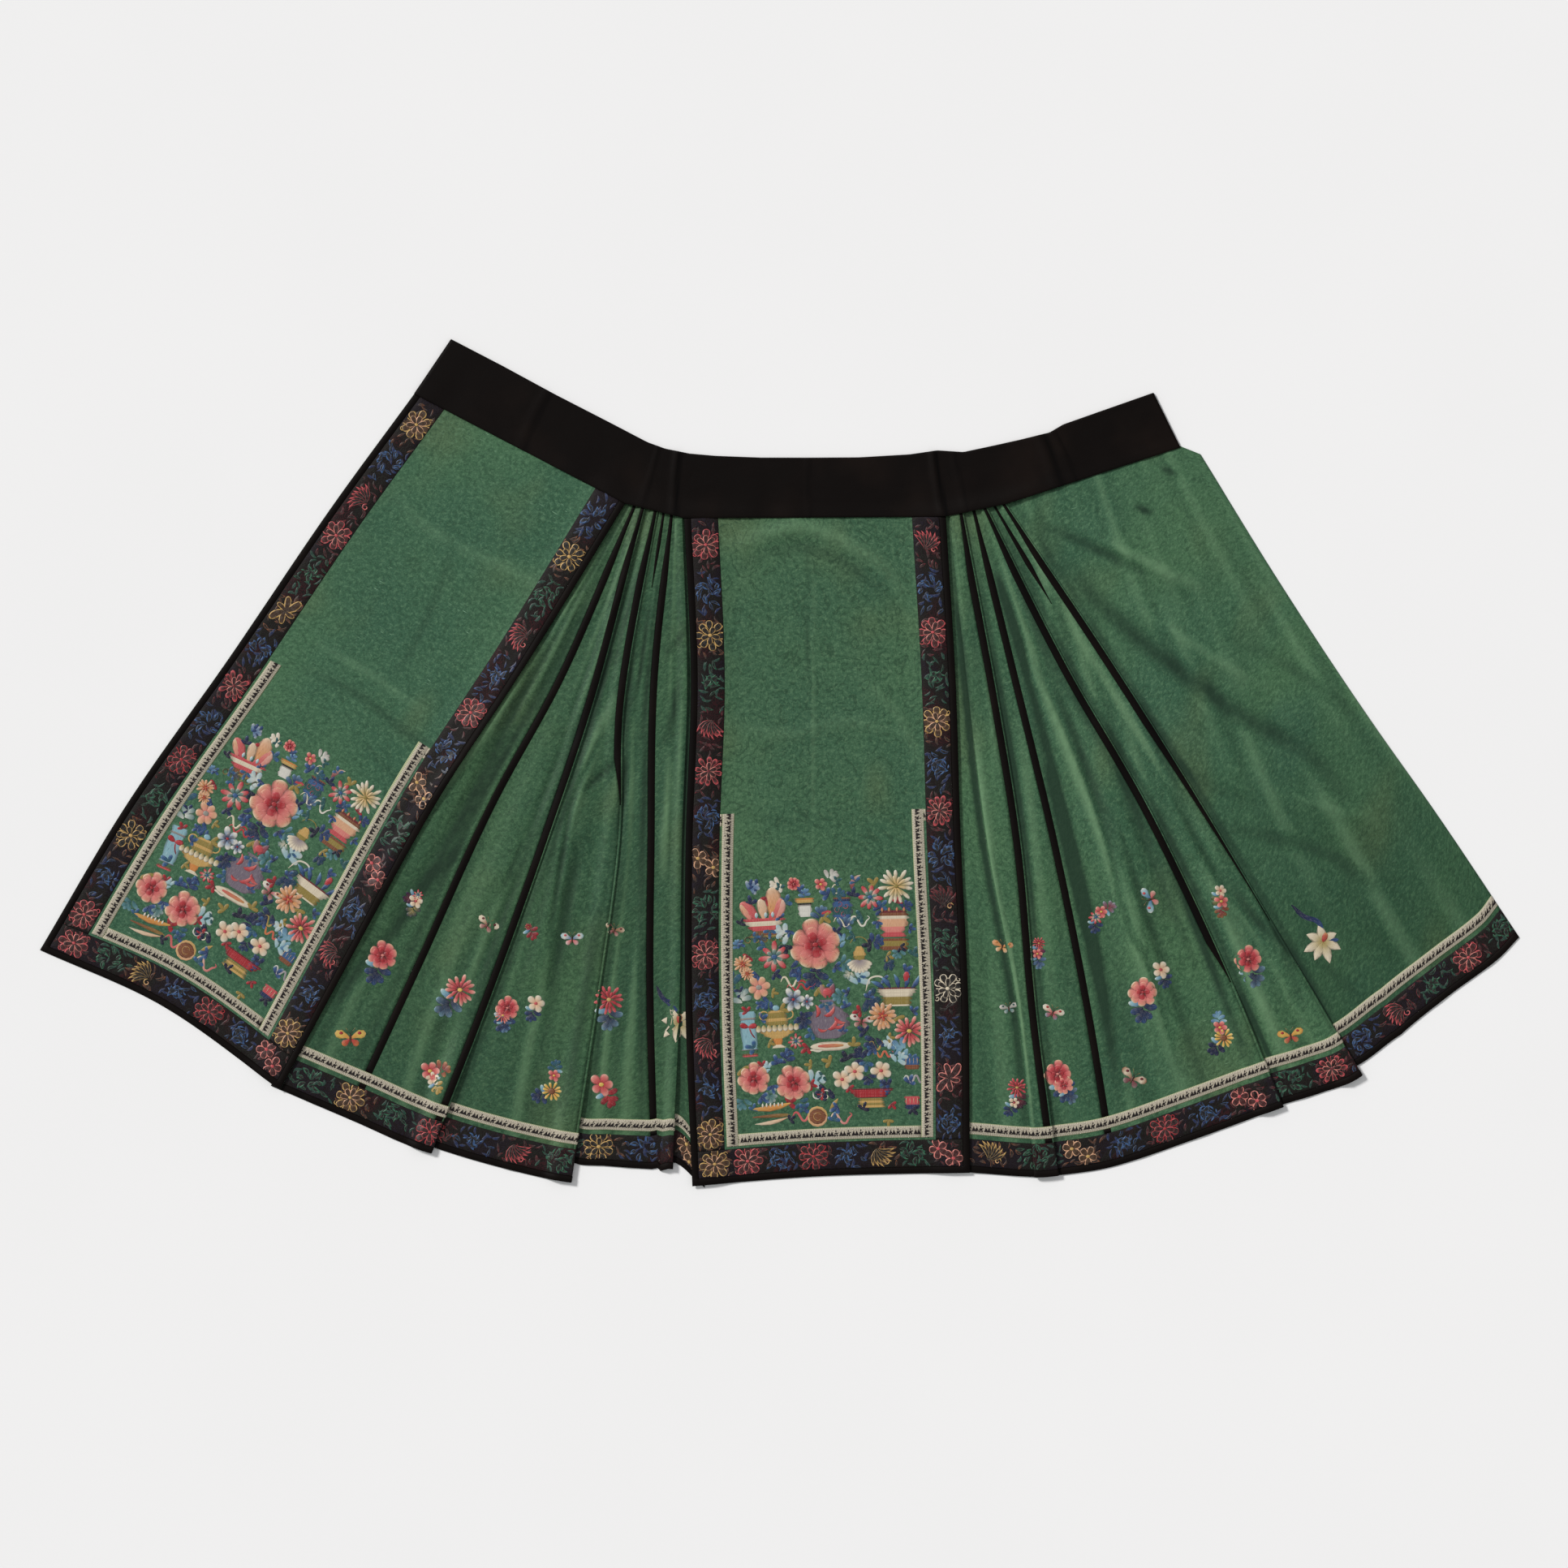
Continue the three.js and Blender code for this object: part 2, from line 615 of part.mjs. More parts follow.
// A fan of gores: the grounds between its stripes, the stripes, and the three hem strips
function addFan(side, sheet, seams, stripes, groundNames) {
  const hem = sheet.rows.length - 1;
  const last = sheet.columns - 1;
  const edges = [0, ...seams.map((name) => sheet.markers[`${name}:stripeStart`]), last];
  groundNames.forEach((name, k) => {
    addCloth(name, sheet, cellBlock(edges[k], edges[k + 1], 0, hem));
  });
  const ribbonTop = rowAt(sheet, FAN_RIBBON_IN);
  stripes.forEach(({ marker, endDistance }, k) => {
    const from = sheet.markers[`${marker}:stripeStart`];
    const to = sheet.markers[`${marker}:stripeEnd`];
    const end = endDistance ? nearestRow(sheet, endDistance) : ribbonTop;
    addTrim(`stripe_${side}_${k + 1}`, sheet, cellBlock(from, to, 0, end), 'satin');
  });
  const bindingRow = rowAt(sheet, BINDING);
  const fieldRow = rowAt(sheet, PANEL_FIELD);
  addTrim(`hem_${side}_binding`, sheet, cellBlock(0, last, bindingRow, hem), 'satin');
  addTrim(`hem_${side}_brocade`, sheet, cellBlock(0, last, fieldRow, bindingRow), 'brocade');
  addTrim(`hem_${side}_ribbon`, sheet, cellBlock(0, last, ribbonTop, rowAt(sheet, FAN_RIBBON_OUT)), 'ribbon');
}

function nearestRow(sheet, hemDistance) {
  const misses = sheet.rows.map((row) => Math.abs(row.hemDistance - hemDistance));
  return misses.indexOf(Math.min(...misses));
}

// The waistband: a folded strip with a flat underside, thicker where it takes in the pleat heads
function bandGeometry() {
  const named = bandRows.map((row) => Object.fromEntries(row.map((value, k) => [bandColumns[k], value])));
  const positions = [];
  const across = BAND.rows;
  for (const { footX, topX, topY, swell } of named) {
    const foot = new THREE.Vector3(...waistPoint(footX), 0);
    const top = new THREE.Vector3(topX, topY, 0);
    const depth = top.distanceTo(foot);
    for (const k of range(across + 1)) {
      const t = Math.pow(k / across, 1.5);
      const spot = foot.clone().lerp(top, t);
      const fall = 1 - smooth((t * depth) / BAND.swellDepth / 1.6);
      positions.push(spot.x, spot.y, 0, spot.x, spot.y, BAND.thickness + BAND.swell * swell * fall);
    }
  }
  const at = (i, k) => 2 * (i * (across + 1) + k);
  const faces = [];
  const last = named.length - 1;
  for (const i of range(last)) {
    for (const k of range(across)) {
      const [a, b, c, d] = [at(i, k), at(i + 1, k), at(i + 1, k + 1), at(i, k + 1)];
      faces.push([a + 1, b + 1, c + 1], [a + 1, c + 1, d + 1], [a, c, b], [a, d, c]);
      if (k === 0) faces.push([a, b, b + 1], [a, b + 1, a + 1]);
      if (k === across - 1) faces.push([d, d + 1, c + 1], [d, c + 1, c]);
      if (i === 0) faces.push([a, a + 1, d + 1], [a, d + 1, d]);
      if (i === last - 1) faces.push([b, c, c + 1], [b, c + 1, b + 1]);
    }
  }
  const geometry = new THREE.BufferGeometry();
  geometry.setAttribute('position', new THREE.Float32BufferAttribute(positions, 3));
  geometry.setIndex(faces.flat());
  geometry.computeVertexNormals();
  return geometry;
}

const LEFT_LENGTH = 900;
const CENTRE_LENGTH = 880;
const LEFT_FAN_LENGTH = 890;
const RIGHT_FAN_LENGTH = 880;

const fanBorders = [0, BINDING, PANEL_FIELD, FAN_RIBBON_OUT, FAN_RIBBON_IN, THICK_HEM_END, THIN_FROM];
const leftFanNames = ['leftInner', 'stripe1', 'fold2', 'fold3', 'crease4', 'stripe5', 'fold6', 'centreLeft'];
const rightFanNames = ['centreRight', 'fold7', 'fold8', 'stripe9', 'crease9', 'fold10', 'crease11', 'fold12',
  'plainNear', 'plainMiddle', 'plainFar', 'plainRight'];

addPiece('waistband', bandGeometry(), 'satin');
addPanel('panel_left', ['leftOuter', 'leftMiddle', 'leftInner'], LEFT_LENGTH, false, true);
addPanel('panel_centre', ['centreLeft', 'centreMiddle', 'centreRight'], CENTRE_LENGTH, true, true);

const leftRows = rowDistances(fanBorders, LEFT_FAN_LENGTH, FAN_OPEN_ROWS);
const leftFan = makeSheet(leftFanNames, leftRows, LEFT_FAN_LENGTH, leftFanSection);
addFan('left', leftFan, ['stripe1', 'stripe2', 'stripe3', 'stripe5'], [
  { marker: 'stripe1' },
  { marker: 'stripe2' },
  { marker: 'stripe3', endDistance: 500 },
  { marker: 'stripe4', endDistance: 790 },
  { marker: 'stripe5' },
], range(5).map((k) => `gore_left_${k + 1}`));

const rightRows = rowDistances(fanBorders, RIGHT_FAN_LENGTH, FAN_OPEN_ROWS);
const rightFan = makeSheet(rightFanNames, rightRows, RIGHT_FAN_LENGTH, rightFanSection);
addFan('right', rightFan, ['stripe8', 'stripe9', 'stripe10', 'stripe12'], [
  { marker: 'stripe8' },
  { marker: 'stripe9' },
  { marker: 'stripe10', endDistance: 180 },
  { marker: 'stripe11', endDistance: 730 },
  { marker: 'stripe12', endDistance: 240 },
], [...range(4).map((k) => `gore_right_${k + 1}`), 'panel_plain_ground']);

// The origin is the middle of the bottom of the whole piece's box
const box = new THREE.Box3().setFromObject(group);
const middle = box.getCenter(new THREE.Vector3());
group.position.set(-middle.x, -middle.y, -box.min.z);

export default group;
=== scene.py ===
"""Pleated wrap skirt of silk damask, laid out flat and seen from above.

The cloth follows the surfaces of the CAD model more finely, with its creases, borders and embroidery.
Tables and plan sizes are in millimetres: x along the waistband, y from the hem to the waist, z up.
"""
import math
import random

import bpy
import numpy as np
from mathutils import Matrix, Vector
from mathutils.bvhtree import BVHTree


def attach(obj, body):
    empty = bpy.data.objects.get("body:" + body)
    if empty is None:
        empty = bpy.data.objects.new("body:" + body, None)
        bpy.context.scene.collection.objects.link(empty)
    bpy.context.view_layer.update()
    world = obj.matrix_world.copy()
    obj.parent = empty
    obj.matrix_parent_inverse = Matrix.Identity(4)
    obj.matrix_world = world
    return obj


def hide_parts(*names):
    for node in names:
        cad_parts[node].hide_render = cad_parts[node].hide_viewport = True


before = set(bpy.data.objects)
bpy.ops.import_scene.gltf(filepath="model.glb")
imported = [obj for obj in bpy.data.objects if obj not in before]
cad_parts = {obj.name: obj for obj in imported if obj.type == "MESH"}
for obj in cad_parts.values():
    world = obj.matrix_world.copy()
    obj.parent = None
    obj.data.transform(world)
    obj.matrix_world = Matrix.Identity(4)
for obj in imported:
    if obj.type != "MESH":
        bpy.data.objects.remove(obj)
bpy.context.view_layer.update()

MM = 0.001
SHIFT = (-0.01, 0.59)

# Cloth and the gaps between sewn pieces, as in the solids
HALF_CLOTH = 0.55
TRIM_OUT = 1.85
FOLD_ROOM = 0.2
WAIST_GAP = 0.4

# Thickness of what is sewn on the cloth, measured from the middle of the cloth
TRIM_IN = 0.5
BROCADE_OUT = 1.15
BINDING_OUT = 1.6
RIBBON_OUT = 1.5
STRIPE_OUT = 1.5
BEVEL = 0.8
EDGE_SHARE = 0.35

# Borders, measured inward from the cut edge
BINDING = 9
BROCADE = 36
RIBBON = 16
PANEL_FIELD = BINDING + BROCADE
PANEL_RIBBON_OUT = PANEL_FIELD + 3
PANEL_RIBBON_IN = PANEL_RIBBON_OUT + RIBBON
FAN_RIBBON_OUT = PANEL_FIELD + 6
FAN_RIBBON_IN = FAN_RIBBON_OUT + RIBBON
SQUARE_TOP = 487

# Rows run parallel to the hem up to a distance from it. Over the next distance they turn until they
# divide each line evenly
HEM_PARALLEL = 200
HEM_FADE = 300

# Pleats at the waist and at the hem: how far they lap, the ramp beside them and the clear cloth
LAP = (4.5, 18)
BOX_LAP = (5, 11)
RAMP = (3, 16)
CLEAR = (1.5, 4)
STRIPE_HALF = (2, 4.6)
STRIPE_SPREAD = 0.12
NARROW_LAP = 9
NARROW_RAMP = 5
PLEAT_FOOT = 2

# The layers of a pleat lie further apart near the hem, for the borders between them
THICK_HEM_END = 110
THIN_FROM = 180
TUCK_LEAD = 1.6
EDGE_INSET = 1.4
UNDER_LAP = 14
RAISED_EDGE = 4.2
RAISED_WIDTH = 22
RAISED_FOOT = 64

# Cut lengths from the waist to the hem
LEFT_LENGTH = 900
CENTRE_LENGTH = 880
LEFT_FAN_LENGTH = 890
RIGHT_FAN_LENGTH = 880

# The grid of the cloth
ROW_STEP = 6.0
COLUMN_STEP = 6.0
TURN_STEPS = 5

# How strongly creases rise and how much painted shade and highlight they get, how many ripples run across a
# fan, and how strongly they rise and get painted shade and highlight
CREASE_RISE = 1.45
CREASE_PAINTED_SHADING = 2.3
RIPPLES = (10.6, 18.3)
RIPPLE_RISE = 0.9
RIPPLE_PAINTED_SHADING = 0.4

# The foot of the waistband from left to right: x and y
WAIST_CORNERS = [
    (-484.4, 493.6), (-203.6, 347.3), (-127.0, 328.3), (220.9, 330.5), (299.7, 346.7), (531.9, 422.3),
    (560.0, 411.0),
]

# Across the waistband: x at its foot, x and y at its top edge, and how far the pleat heads swell it
BAND_ROWS = [
    (-484.4, -436.9, 563.8, 0.1), (-410, -368, 528, 0.1), (-335, -298.6, 490.3, 0.1),
    (-255, -226, 453, 0.3), (-203.6, -175.5, 426.6, 1), (-165, -151.7, 418.0, 1),
    (-127, -119.3, 411.5, 1), (-90, -85, 408.5, 0.6), (-25, -25, 406.2, 0.1),
    (37.3, 37.3, 406.1, 0.1), (105, 105, 406.5, 0.1), (172.3, 172.3, 410.4, 0.4),
    (220.9, 210.1, 415.8, 1), (258.7, 244.6, 413.6, 1), (299.7, 280.3, 421.2, 1),
    (345, 320, 430, 0.5), (388.3, 359.1, 439.6, 0.1), (415.3, 377.5, 450.4, 0.1),
    (470, 436, 471, 0.1), (531.9, 497.3, 492.5, 0.1),
]
BAND_THICKNESS = 3
BAND_SWELL = 4
BAND_SWELL_DEPTH = 22.4
BAND_LIP = 3.0
BAND_SEAM = 13

# Stations along the band and across it: from its foot, in the middle and from its top edge
BAND_STATIONS = 260
BAND_LOW = (-BAND_LIP, -BAND_LIP + 0.5, -1.2, 0, 0.4, 2, 4.5)
BAND_STEPS = 12
BAND_HIGH = (1.8, 0.7, 0)

# The ribbon's row of figures and the dots at its edges, in metres, as materials take them
RIBBON_REPEAT = 0.0165
RIBBON_DOTS = 0.0024

# Where embroidery is dropped from, the steepest step that it crosses, and its start below the waist
ABOVE_ALL = 60
STEEPEST = 1.5
WAIST_CLEAR = 8

# How large the tables' embroidery is drawn, in the squares and on the fans
LEAVES_DRAWN = 1.35
FIGURES_DRAWN = 1.04
FLOWERS_DRAWN = 1.12
WAVE_WIDTH = 3.2
FAN_FLOWERS_DRAWN = 1.2
FAN_BUTTERFLIES_DRAWN = 1.15
FAN_LEAVES = 1.9
LEAST_FAN_LEAVES = 17

# Studio: the floor, the lights and the camera straight above the skirt, in metres and degrees
FLOOR_SIZE = 24
FLOOR_DROP = 0.0003
SKY_COLOUR = (0.99, 0.995, 1.0, 1)
SKY_STRENGTH = 0.44
KEY_COLOUR = (1.0, 0.985, 0.96)
KEY_STRENGTH = 2.95
KEY_SPREAD = 12
KEY_FROM = (-0.66, 0.52, 0.62)
CAMERA_OVER = (0.0059, -0.0275)
VIEW_WIDTH = 2.0866
FOCAL_LENGTH = 85
SENSOR_WIDTH = 36
CAMERA_REACH = 60

# Folds across the waistband: x at its foot, half width, rise, and how much painted shade lies on its far side
BAND_FOLDS = [
    (-346, 9, 1.0, 0.5), (-181, 6, 0.8, 0.4), (-146, 7, 2.2, 1.0), (37.3, 3, 0.7, 0.6),
    (212, 8, 2.6, 1.0), (243, 5, 0.7, 0.4), (372, 11, 2.0, 0.8), (392, 7, 0.9, 0.5),
]

# Lines from the waist down to the hem: x at the waistband's foot, then x and y at each quarter of the way
LINES = {
    "leftOuter": (-484.4, (-599, 336), (-730, 143), (-869, -56), (-984, -249)),
    "leftMiddle": (-344, (-469, 233), (-598, 36), (-720, -158), (-822, -323)),
    "leftInner": (-203.6, (-335, 133), (-455, -52), (-566, -253), (-664, -435)),
    "stripe1": (-192, (-290, 116), (-383, -56), (-480, -268), (-575, -473)),
    "fold2": (-178, (-245, 86), (-308, -104), (-387, -322), (-464, -519)),
    "fold3": (-161.5, (-206, 79), (-212, -100), (-240, -310), (-278, -558)),
    "crease4": (-154, (-188, 100), (-193, -108), (-212, -300), (-235, -554)),
    "stripe5": (-143.5, (-167, 110), (-171, -115), (-172, -310), (-165, -545)),
    "fold6": (-129.5, (-123, 104), (-130, -110), (-133, -319), (-143, -540)),
    "centreLeft": (-127, (-118, 110), (-125, -110), (-125, -330), (-116, -563)),
    "centreMiddle": (46, (58, 108), (58, -112), (63, -325), (54, -550)),
    "centreRight": (220.9, (234, 110), (241, -105), (251, -322), (253, -545)),
    "fold7": (226, (250, 103), (277, -110), (316, -320), (340, -551)),
    "fold8": (244, (290, 90), (322, -110), (342, -329), (370, -549)),
    "stripe9": (258, (308, 133), (364, -100), (409, -323), (444, -537)),
    "crease9": (265, (345, 128), (425, -78), (500, -298), (560, -498)),
    "fold10": (275, (385, 125), (490, -57), (592, -269), (669, -458)),
    "crease11": (285, (406, 137), (515, -42), (630, -256), (722, -440)),
    "fold12": (300, (435, 146), (544, -26), (671, -239), (774, -416)),
    "plainNear": (375, (497, 180), (620, 10), (745, -180), (826, -362)),
    "plainMiddle": (455, (585, 242), (705, 70), (815, -100), (890, -310)),
    "plainFar": (531.9, (646, 257), (757, 86), (866, -70), (955, -262)),
    "plainRight": (560, (662, 245), (775, 73), (877, -72), (984, -232)),
}
LEFT_FAN_LINES = ["leftInner", "stripe1", "fold2", "fold3", "crease4", "stripe5", "fold6", "centreLeft"]
RIGHT_FAN_LINES = [
    "centreRight", "fold7", "fold8", "stripe9", "crease9", "fold10", "crease11", "fold12",
    "plainNear", "plainMiddle", "plainFar", "plainRight",
]

# Distances from the hem at which a stripe comes to a point, and over how much of its length
STRIPE_ENDS = {"stripe3": 500, "stripe4": 790, "stripe10": 180, "stripe11": 730, "stripe12": 240}
STRIPE_POINT = 60
LONG_POINTS = {"stripe12": 300}
NARROWEST_STRIPE = 0.12

# Cut widths of the stripes: over the seams, and over one crease in each fan
CREASE_STRIPES = {"stripe4": 6, "stripe11": 6}

# Tucks of the hem where one gore lies over the next
HEM_STEP = {"fold2": 8, "fold3": 26, "fold6": 9, "fold10": 3, "fold12": 14}

# The broad ridges that the solids have too: places along each, half width and rise
RIDGES = [
    ([(-244, 240), (-455, -60), (-573, -300)], 42, 6),
    ([(-262, 110), (-345, -90), (-450, -350)], 42, 4),
    ([(-240, 60), (-285, -121), (-330, -330)], 46, 6),
    ([(402, 75), (462, -150), (520, -390)], 52, 7),
    ([(480, 10), (583, -180), (690, -370)], 42, 5),
    ([(400, 310), (500, 262), (562, 240)], 42, 7),
    ([(455, 225), (604, 125), (740, 5)], 52, 9),
    ([(490, 110), (600, 0), (745, -95)], 55, 8),
    ([(650, -150), (740, -184), (835, -240)], 48, 6),
]

# Creases, listed one by one: places along each, half width, rise (below 0 for a trough) and painted shade
# (below 0 for a painted highlight)
CREASES = [
    # Left fan, then between its stripes
    ([(-290, 200), (-376, 18), (-455, -129), (-519, -216)], 16, -3.0, 0.35),
    ([(-256, 236), (-389, 43), (-516, -121), (-573, -281)], 14, 2.0, -0.2),
    ([(-222, 150), (-300, -20), (-370, -210), (-425, -400)], 13, -2.2, 0.3),
    ([(-268, 40), (-345, -130), (-430, -330)], 10, 1.8, -0.15),
    ([(-214, 95), (-247, 23), (-271, -54), (-290, -121)], 14, 2.6, -0.25),
    ([(-265, -99), (-287, -205), (-308, -311)], 13, -3.0, 0.35),
    ([(-238, -180), (-262, -330), (-290, -470)], 12, -2.2, 0.25),
    ([(-215, 4), (-238, -16), (-262, -39)], 7, -1.6, 0.4),
    ([(-173, 218), (-186, 120), (-192, 95), (-206, 16)], 7, -1.6, 0.4),
    ([(-132, 112), (-143, 65), (-154, 21)], 8, -2.0, 0.35),
    ([(-143, 23), (-150, -65), (-156, -157)], 8, 2.2, -0.3),
    ([(-123, 178), (-138, 160), (-153, 140)], 6, -1.2, 0.3),
    ([(-192, 300), (-212, 230), (-240, 160)], 7, 1.8, -0.2),
    ([(-183, 270), (-205, 190), (-222, 120)], 5, -1.2, 0.3),
    ([(-152, 290), (-160, 210), (-168, 140)], 5, 1.4, -0.2),
    ([(-414, -103), (-460, -151), (-515, -225), (-602, -329)], 15, -2.6, 0.36),
    ([(-232, 47), (-274, -50), (-286, -109), (-308, -248)], 7, -2.0, 0.36),
    ([(-341, -103), (-365, -162), (-378, -186)], 6, -1.3, 0.3),
    # Right fan
    ([(234, 215), (245, 148), (251, 94), (260, 22)], 6, -1.4, 0.35),
    ([(300, 215), (335, 100), (372, -32), (416, -209), (430, -320)], 9, -1.4, 0.3),
    ([(478, 80), (520, -20), (571, -125), (625, -200), (668, -244), (697, -340)], 13, -2.6, 0.35),
    ([(262, 60), (272, -60), (292, -200), (318, -330)], 9, 2.0, -0.2),
    ([(355, -3), (393, -150), (431, -303), (454, -438)], 17, -4.5, 0.45),
    ([(335, 148), (385, 43), (431, -84), (466, -219), (493, -273), (535, -423)], 9, -2.4, 0.35),
    ([(346, 150), (400, 40), (448, -88), (484, -222)], 8, 1.6, -0.2),
    ([(288, 255), (318, 170), (330, 118)], 11, -2.5, 0.45),
    ([(447, -15), (493, -119), (562, -293)], 11, -2.6, 0.3),
    ([(505, -90), (560, -230), (620, -400)], 9, -1.8, 0.22),
    ([(605, -288), (647, -381), (680, -456)], 5, -1.3, 0.45),
    ([(560, -130), (610, -250), (668, -380)], 11, 2.4, -0.15),
    # Plain panel
    ([(342, 318), (384, 302), (446, 272), (493, 248)], 13, -3.0, 0.3),
    ([(429, 297), (506, 257), (566, 230)], 14, 2.4, -0.2),
    ([(360, 291), (409, 230), (481, 163), (551, 109), (620, 59), (690, 21), (760, -50)], 20, -5.0, 0.36),
    ([(583, -84), (659, -99), (737, -126), (799, -173)], 15, -3.4, 0.22),
    ([(636, -180), (663, -229), (694, -272), (741, -354)], 5, -1.4, 0.4),
    ([(480, 205), (560, 150), (650, 96)], 12, 2.2, -0.12),
    ([(470, 70), (540, -10), (640, -62)], 14, -2.6, 0.15),
    ([(600, 170), (690, 120), (770, 60)], 15, -2.4, 0.15),
    ([(660, -40), (730, -60), (800, -80)], 16, 2.0, -0.08),
    ([(700, -250), (760, -300), (800, -360)], 12, -2.0, 0.15),
    ([(474, 343), (483, 337), (493, 333)], 9, 0, 0.5),
    ([(510, 392), (518, 389), (527, 384)], 8, 0, 0.4),
    # Left panel
    ([(-520, 360), (-450, 300), (-330, 240), (-270, 190)], 14, 1.8, -0.08),
    ([(-430, 300), (-470, 190), (-520, 100)], 10, -1.6, 0.14),
    ([(-640, 130), (-560, 90), (-480, 30), (-410, 5)], 11, -2.2, 0.2),
    ([(-620, 160), (-545, 118), (-465, 62)], 10, 1.8, -0.1),
    ([(-560, 30), (-500, -30), (-460, -80)], 9, -1.6, 0.15),
    ([(-700, 40), (-640, 0), (-590, -30)], 10, 1.5, -0.06),
    # Centre panel: the pressed line down its middle, a soft arch and slack across it
    ([(37, 326), (37, 151), (35, -162)], 3.5, -0.9, 0.22),
    ([(45, 326), (45, 151), (43, -162)], 4, 0.8, -0.08),
    ([(-76, 281), (-22, 302), (32, 313), (86, 294), (140, 259), (172, 216)], 17, 3.2, -0.12),
    ([(-70, 255), (-18, 278), (32, 286), (80, 270), (128, 236), (158, 196)], 14, -2.0, 0.16),
    ([(-70, 60), (0, 35), (90, 52), (180, 30)], 15, 1.6, -0.05),
    ([(-80, -60), (10, -78), (100, -66)], 14, -1.6, 0.08),
    ([(100, 120), (160, 60), (195, -20)], 13, 1.6, -0.06),
]

# Painted shading along folds: line, how far to its right, half width, rise and painted shade (below 0 for a
# painted highlight)
FOLD_SHADES = [
    ("fold7", -7, 10, -1.2, 0.55), ("fold7", 3, 3.5, 0.8, -0.45), ("fold8", 8, 8, 0, 0.4),
    ("fold2", 9, 9, 0, 0.35), ("fold3", 9, 9, 0, 0.4), ("fold6", 6, 7, 0, 0.4), ("fold10", 9, 9, 0, 0.35),
    ("fold12", 9, 9, 0, 0.35), ("stripe1", -22, 12, -1.4, 0.25), ("stripe5", -15, 9, -1.2, 0.3),
    ("crease4", -14, 9, 1.0, -0.3), ("stripe9", 24, 13, -1.6, 0.3), ("crease9", -6, 14, 1.6, -0.25),
    ("crease9", 26, 12, -1.8, 0.3), ("fold10", -22, 11, -1.2, 0.28), ("crease11", 20, 10, 1.0, -0.2),
]


def mix(a, b, t):
    """The value a share t of the way from a to b."""
    return a + (b - a) * t


def smooth(t):
    """0 below 0 and 1 above 1, with a soft start and end between."""
    u = np.clip(t, 0, 1)
    return u * u * (3 - 2 * u)


def spline(points, samples=600):
    """Centripetal Catmull-Rom curve through plan points, as dense places and their distances along it."""
    points = np.array(points, float)
    ends = [2 * points[0] - points[1], *points, 2 * points[-1] - points[-2]]
    spans = len(points) - 1
    steps = max(2, samples // spans)
    out = []
    for k in range(spans):
        p0, p1, p2, p3 = ends[k:k + 4]
        d0, d1, d2 = (math.sqrt(np.linalg.norm(b - a)) for a, b in ((p0, p1), (p1, p2), (p2, p3)))
        m1 = ((p1 - p0) / d0 - (p2 - p0) / (d0 + d1) + (p2 - p1) / d1) * d1
        m2 = ((p2 - p1) / d1 - (p3 - p1) / (d1 + d2) + (p3 - p2) / d2) * d1
        t = np.arange(steps)[:, None] / steps
        out.append(p1 + m1 * t + (3 * p2 - 3 * p1 - 2 * m1 - m2) * t ** 2
                   + (2 * p1 - 2 * p2 + m1 + m2) * t ** 3)
    out.append(points[-1:])
    places = np.concatenate(out)
    lengths = np.linalg.norm(np.diff(places, axis=0), axis=1)
    return places, np.concatenate([[0], np.cumsum(lengths)])


def waist_y(x):
    """The foot of the waistband at a place along it."""
    xs, ys = zip(*WAIST_CORNERS)
    return float(np.interp(x, xs, ys))


def line_curve(name):
    """The curve of a seam, fold or edge from the waistband to the hem."""
    waist_x, *stations = LINES[name]
    return spline([(waist_x, waist_y(waist_x) - WAIST_GAP), *stations])


def along(curve, share):
    """Places on a curve at shares of its length."""
    places, lengths = curve
    at = np.clip(share, 0, 1) * lengths[-1]
    return np.stack([np.interp(at, lengths, places[:, k]) for k in (0, 1)], axis=-1)


def crease_share(x, y, points, half):
    """How much of a crease is at each place: 1 on its line, 0 half a width away and at its ends."""
    places, lengths = spline(points, 24)
    best = np.zeros_like(x)
    for k in range(len(places) - 1):
        (ax, ay), (bx, by) = places[k], places[k + 1]
        span = (bx - ax) ** 2 + (by - ay) ** 2
        t = np.clip(((x - ax) * (bx - ax) + (y - ay) * (by - ay)) / span, 0, 1)
        distance = np.hypot(x - mix(ax, bx, t), y - mix(ay, by, t))
        travel = mix(lengths[k], lengths[k + 1], t) / lengths[-1]
        fade = np.sin(np.pi * np.clip(travel, 0, 1)) ** 0.6
        best = np.maximum(best, fade * (1 - smooth(distance / half)))
    return best


def fold_creases():
    """The painted shading and rise beside folds, as creases along their lines."""
    for name, aside, half, height, painted_shading in FOLD_SHADES:
        waist_x, *stations = LINES[name]
        start = (waist_x + 0.2 * aside, waist_y(waist_x) + 20)
        line = [start, *((x + aside * (0.55 + 0.15 * k), y) for k, (x, y) in enumerate(stations))]
        yield line, half, height, painted_shading


def slack(x, y):
    """Slight unevenness of old silk that was pressed flat."""
    first = np.sin(x / 17 + 1.3 * np.sin(y / 39)) * np.sin(y / 23 + 1.1 * np.sin(x / 47))
    second = np.sin((x + y) / 31 + 2.0) * np.sin((x - 1.4 * y) / 43 + 0.7)
    return 0.35 * first + 0.55 * second


def relief(x, y):
    """Rise of the cloth over the surface that it lies on, and the painted shade and painted highlight along
    its creases.
    """
    rise = slack(x, y)
    tone = np.zeros_like(x)
    for points, half, height in RIDGES:
        rise += height * crease_share(x, y, points, half)
    # Each crease paints shade along its line where its last number is above 0, and a painted highlight where
    # it is below 0
    for points, half, height, painted_shading in [*CREASES, *fold_creases()]:
        share = crease_share(x, y, points, half)
        rise += CREASE_RISE * height * share
        tone += CREASE_PAINTED_SHADING * painted_shading * share
    lifted = 0.5 * (rise + np.sqrt(rise ** 2 + 1) - 1)
    return np.maximum(0, lifted), tone


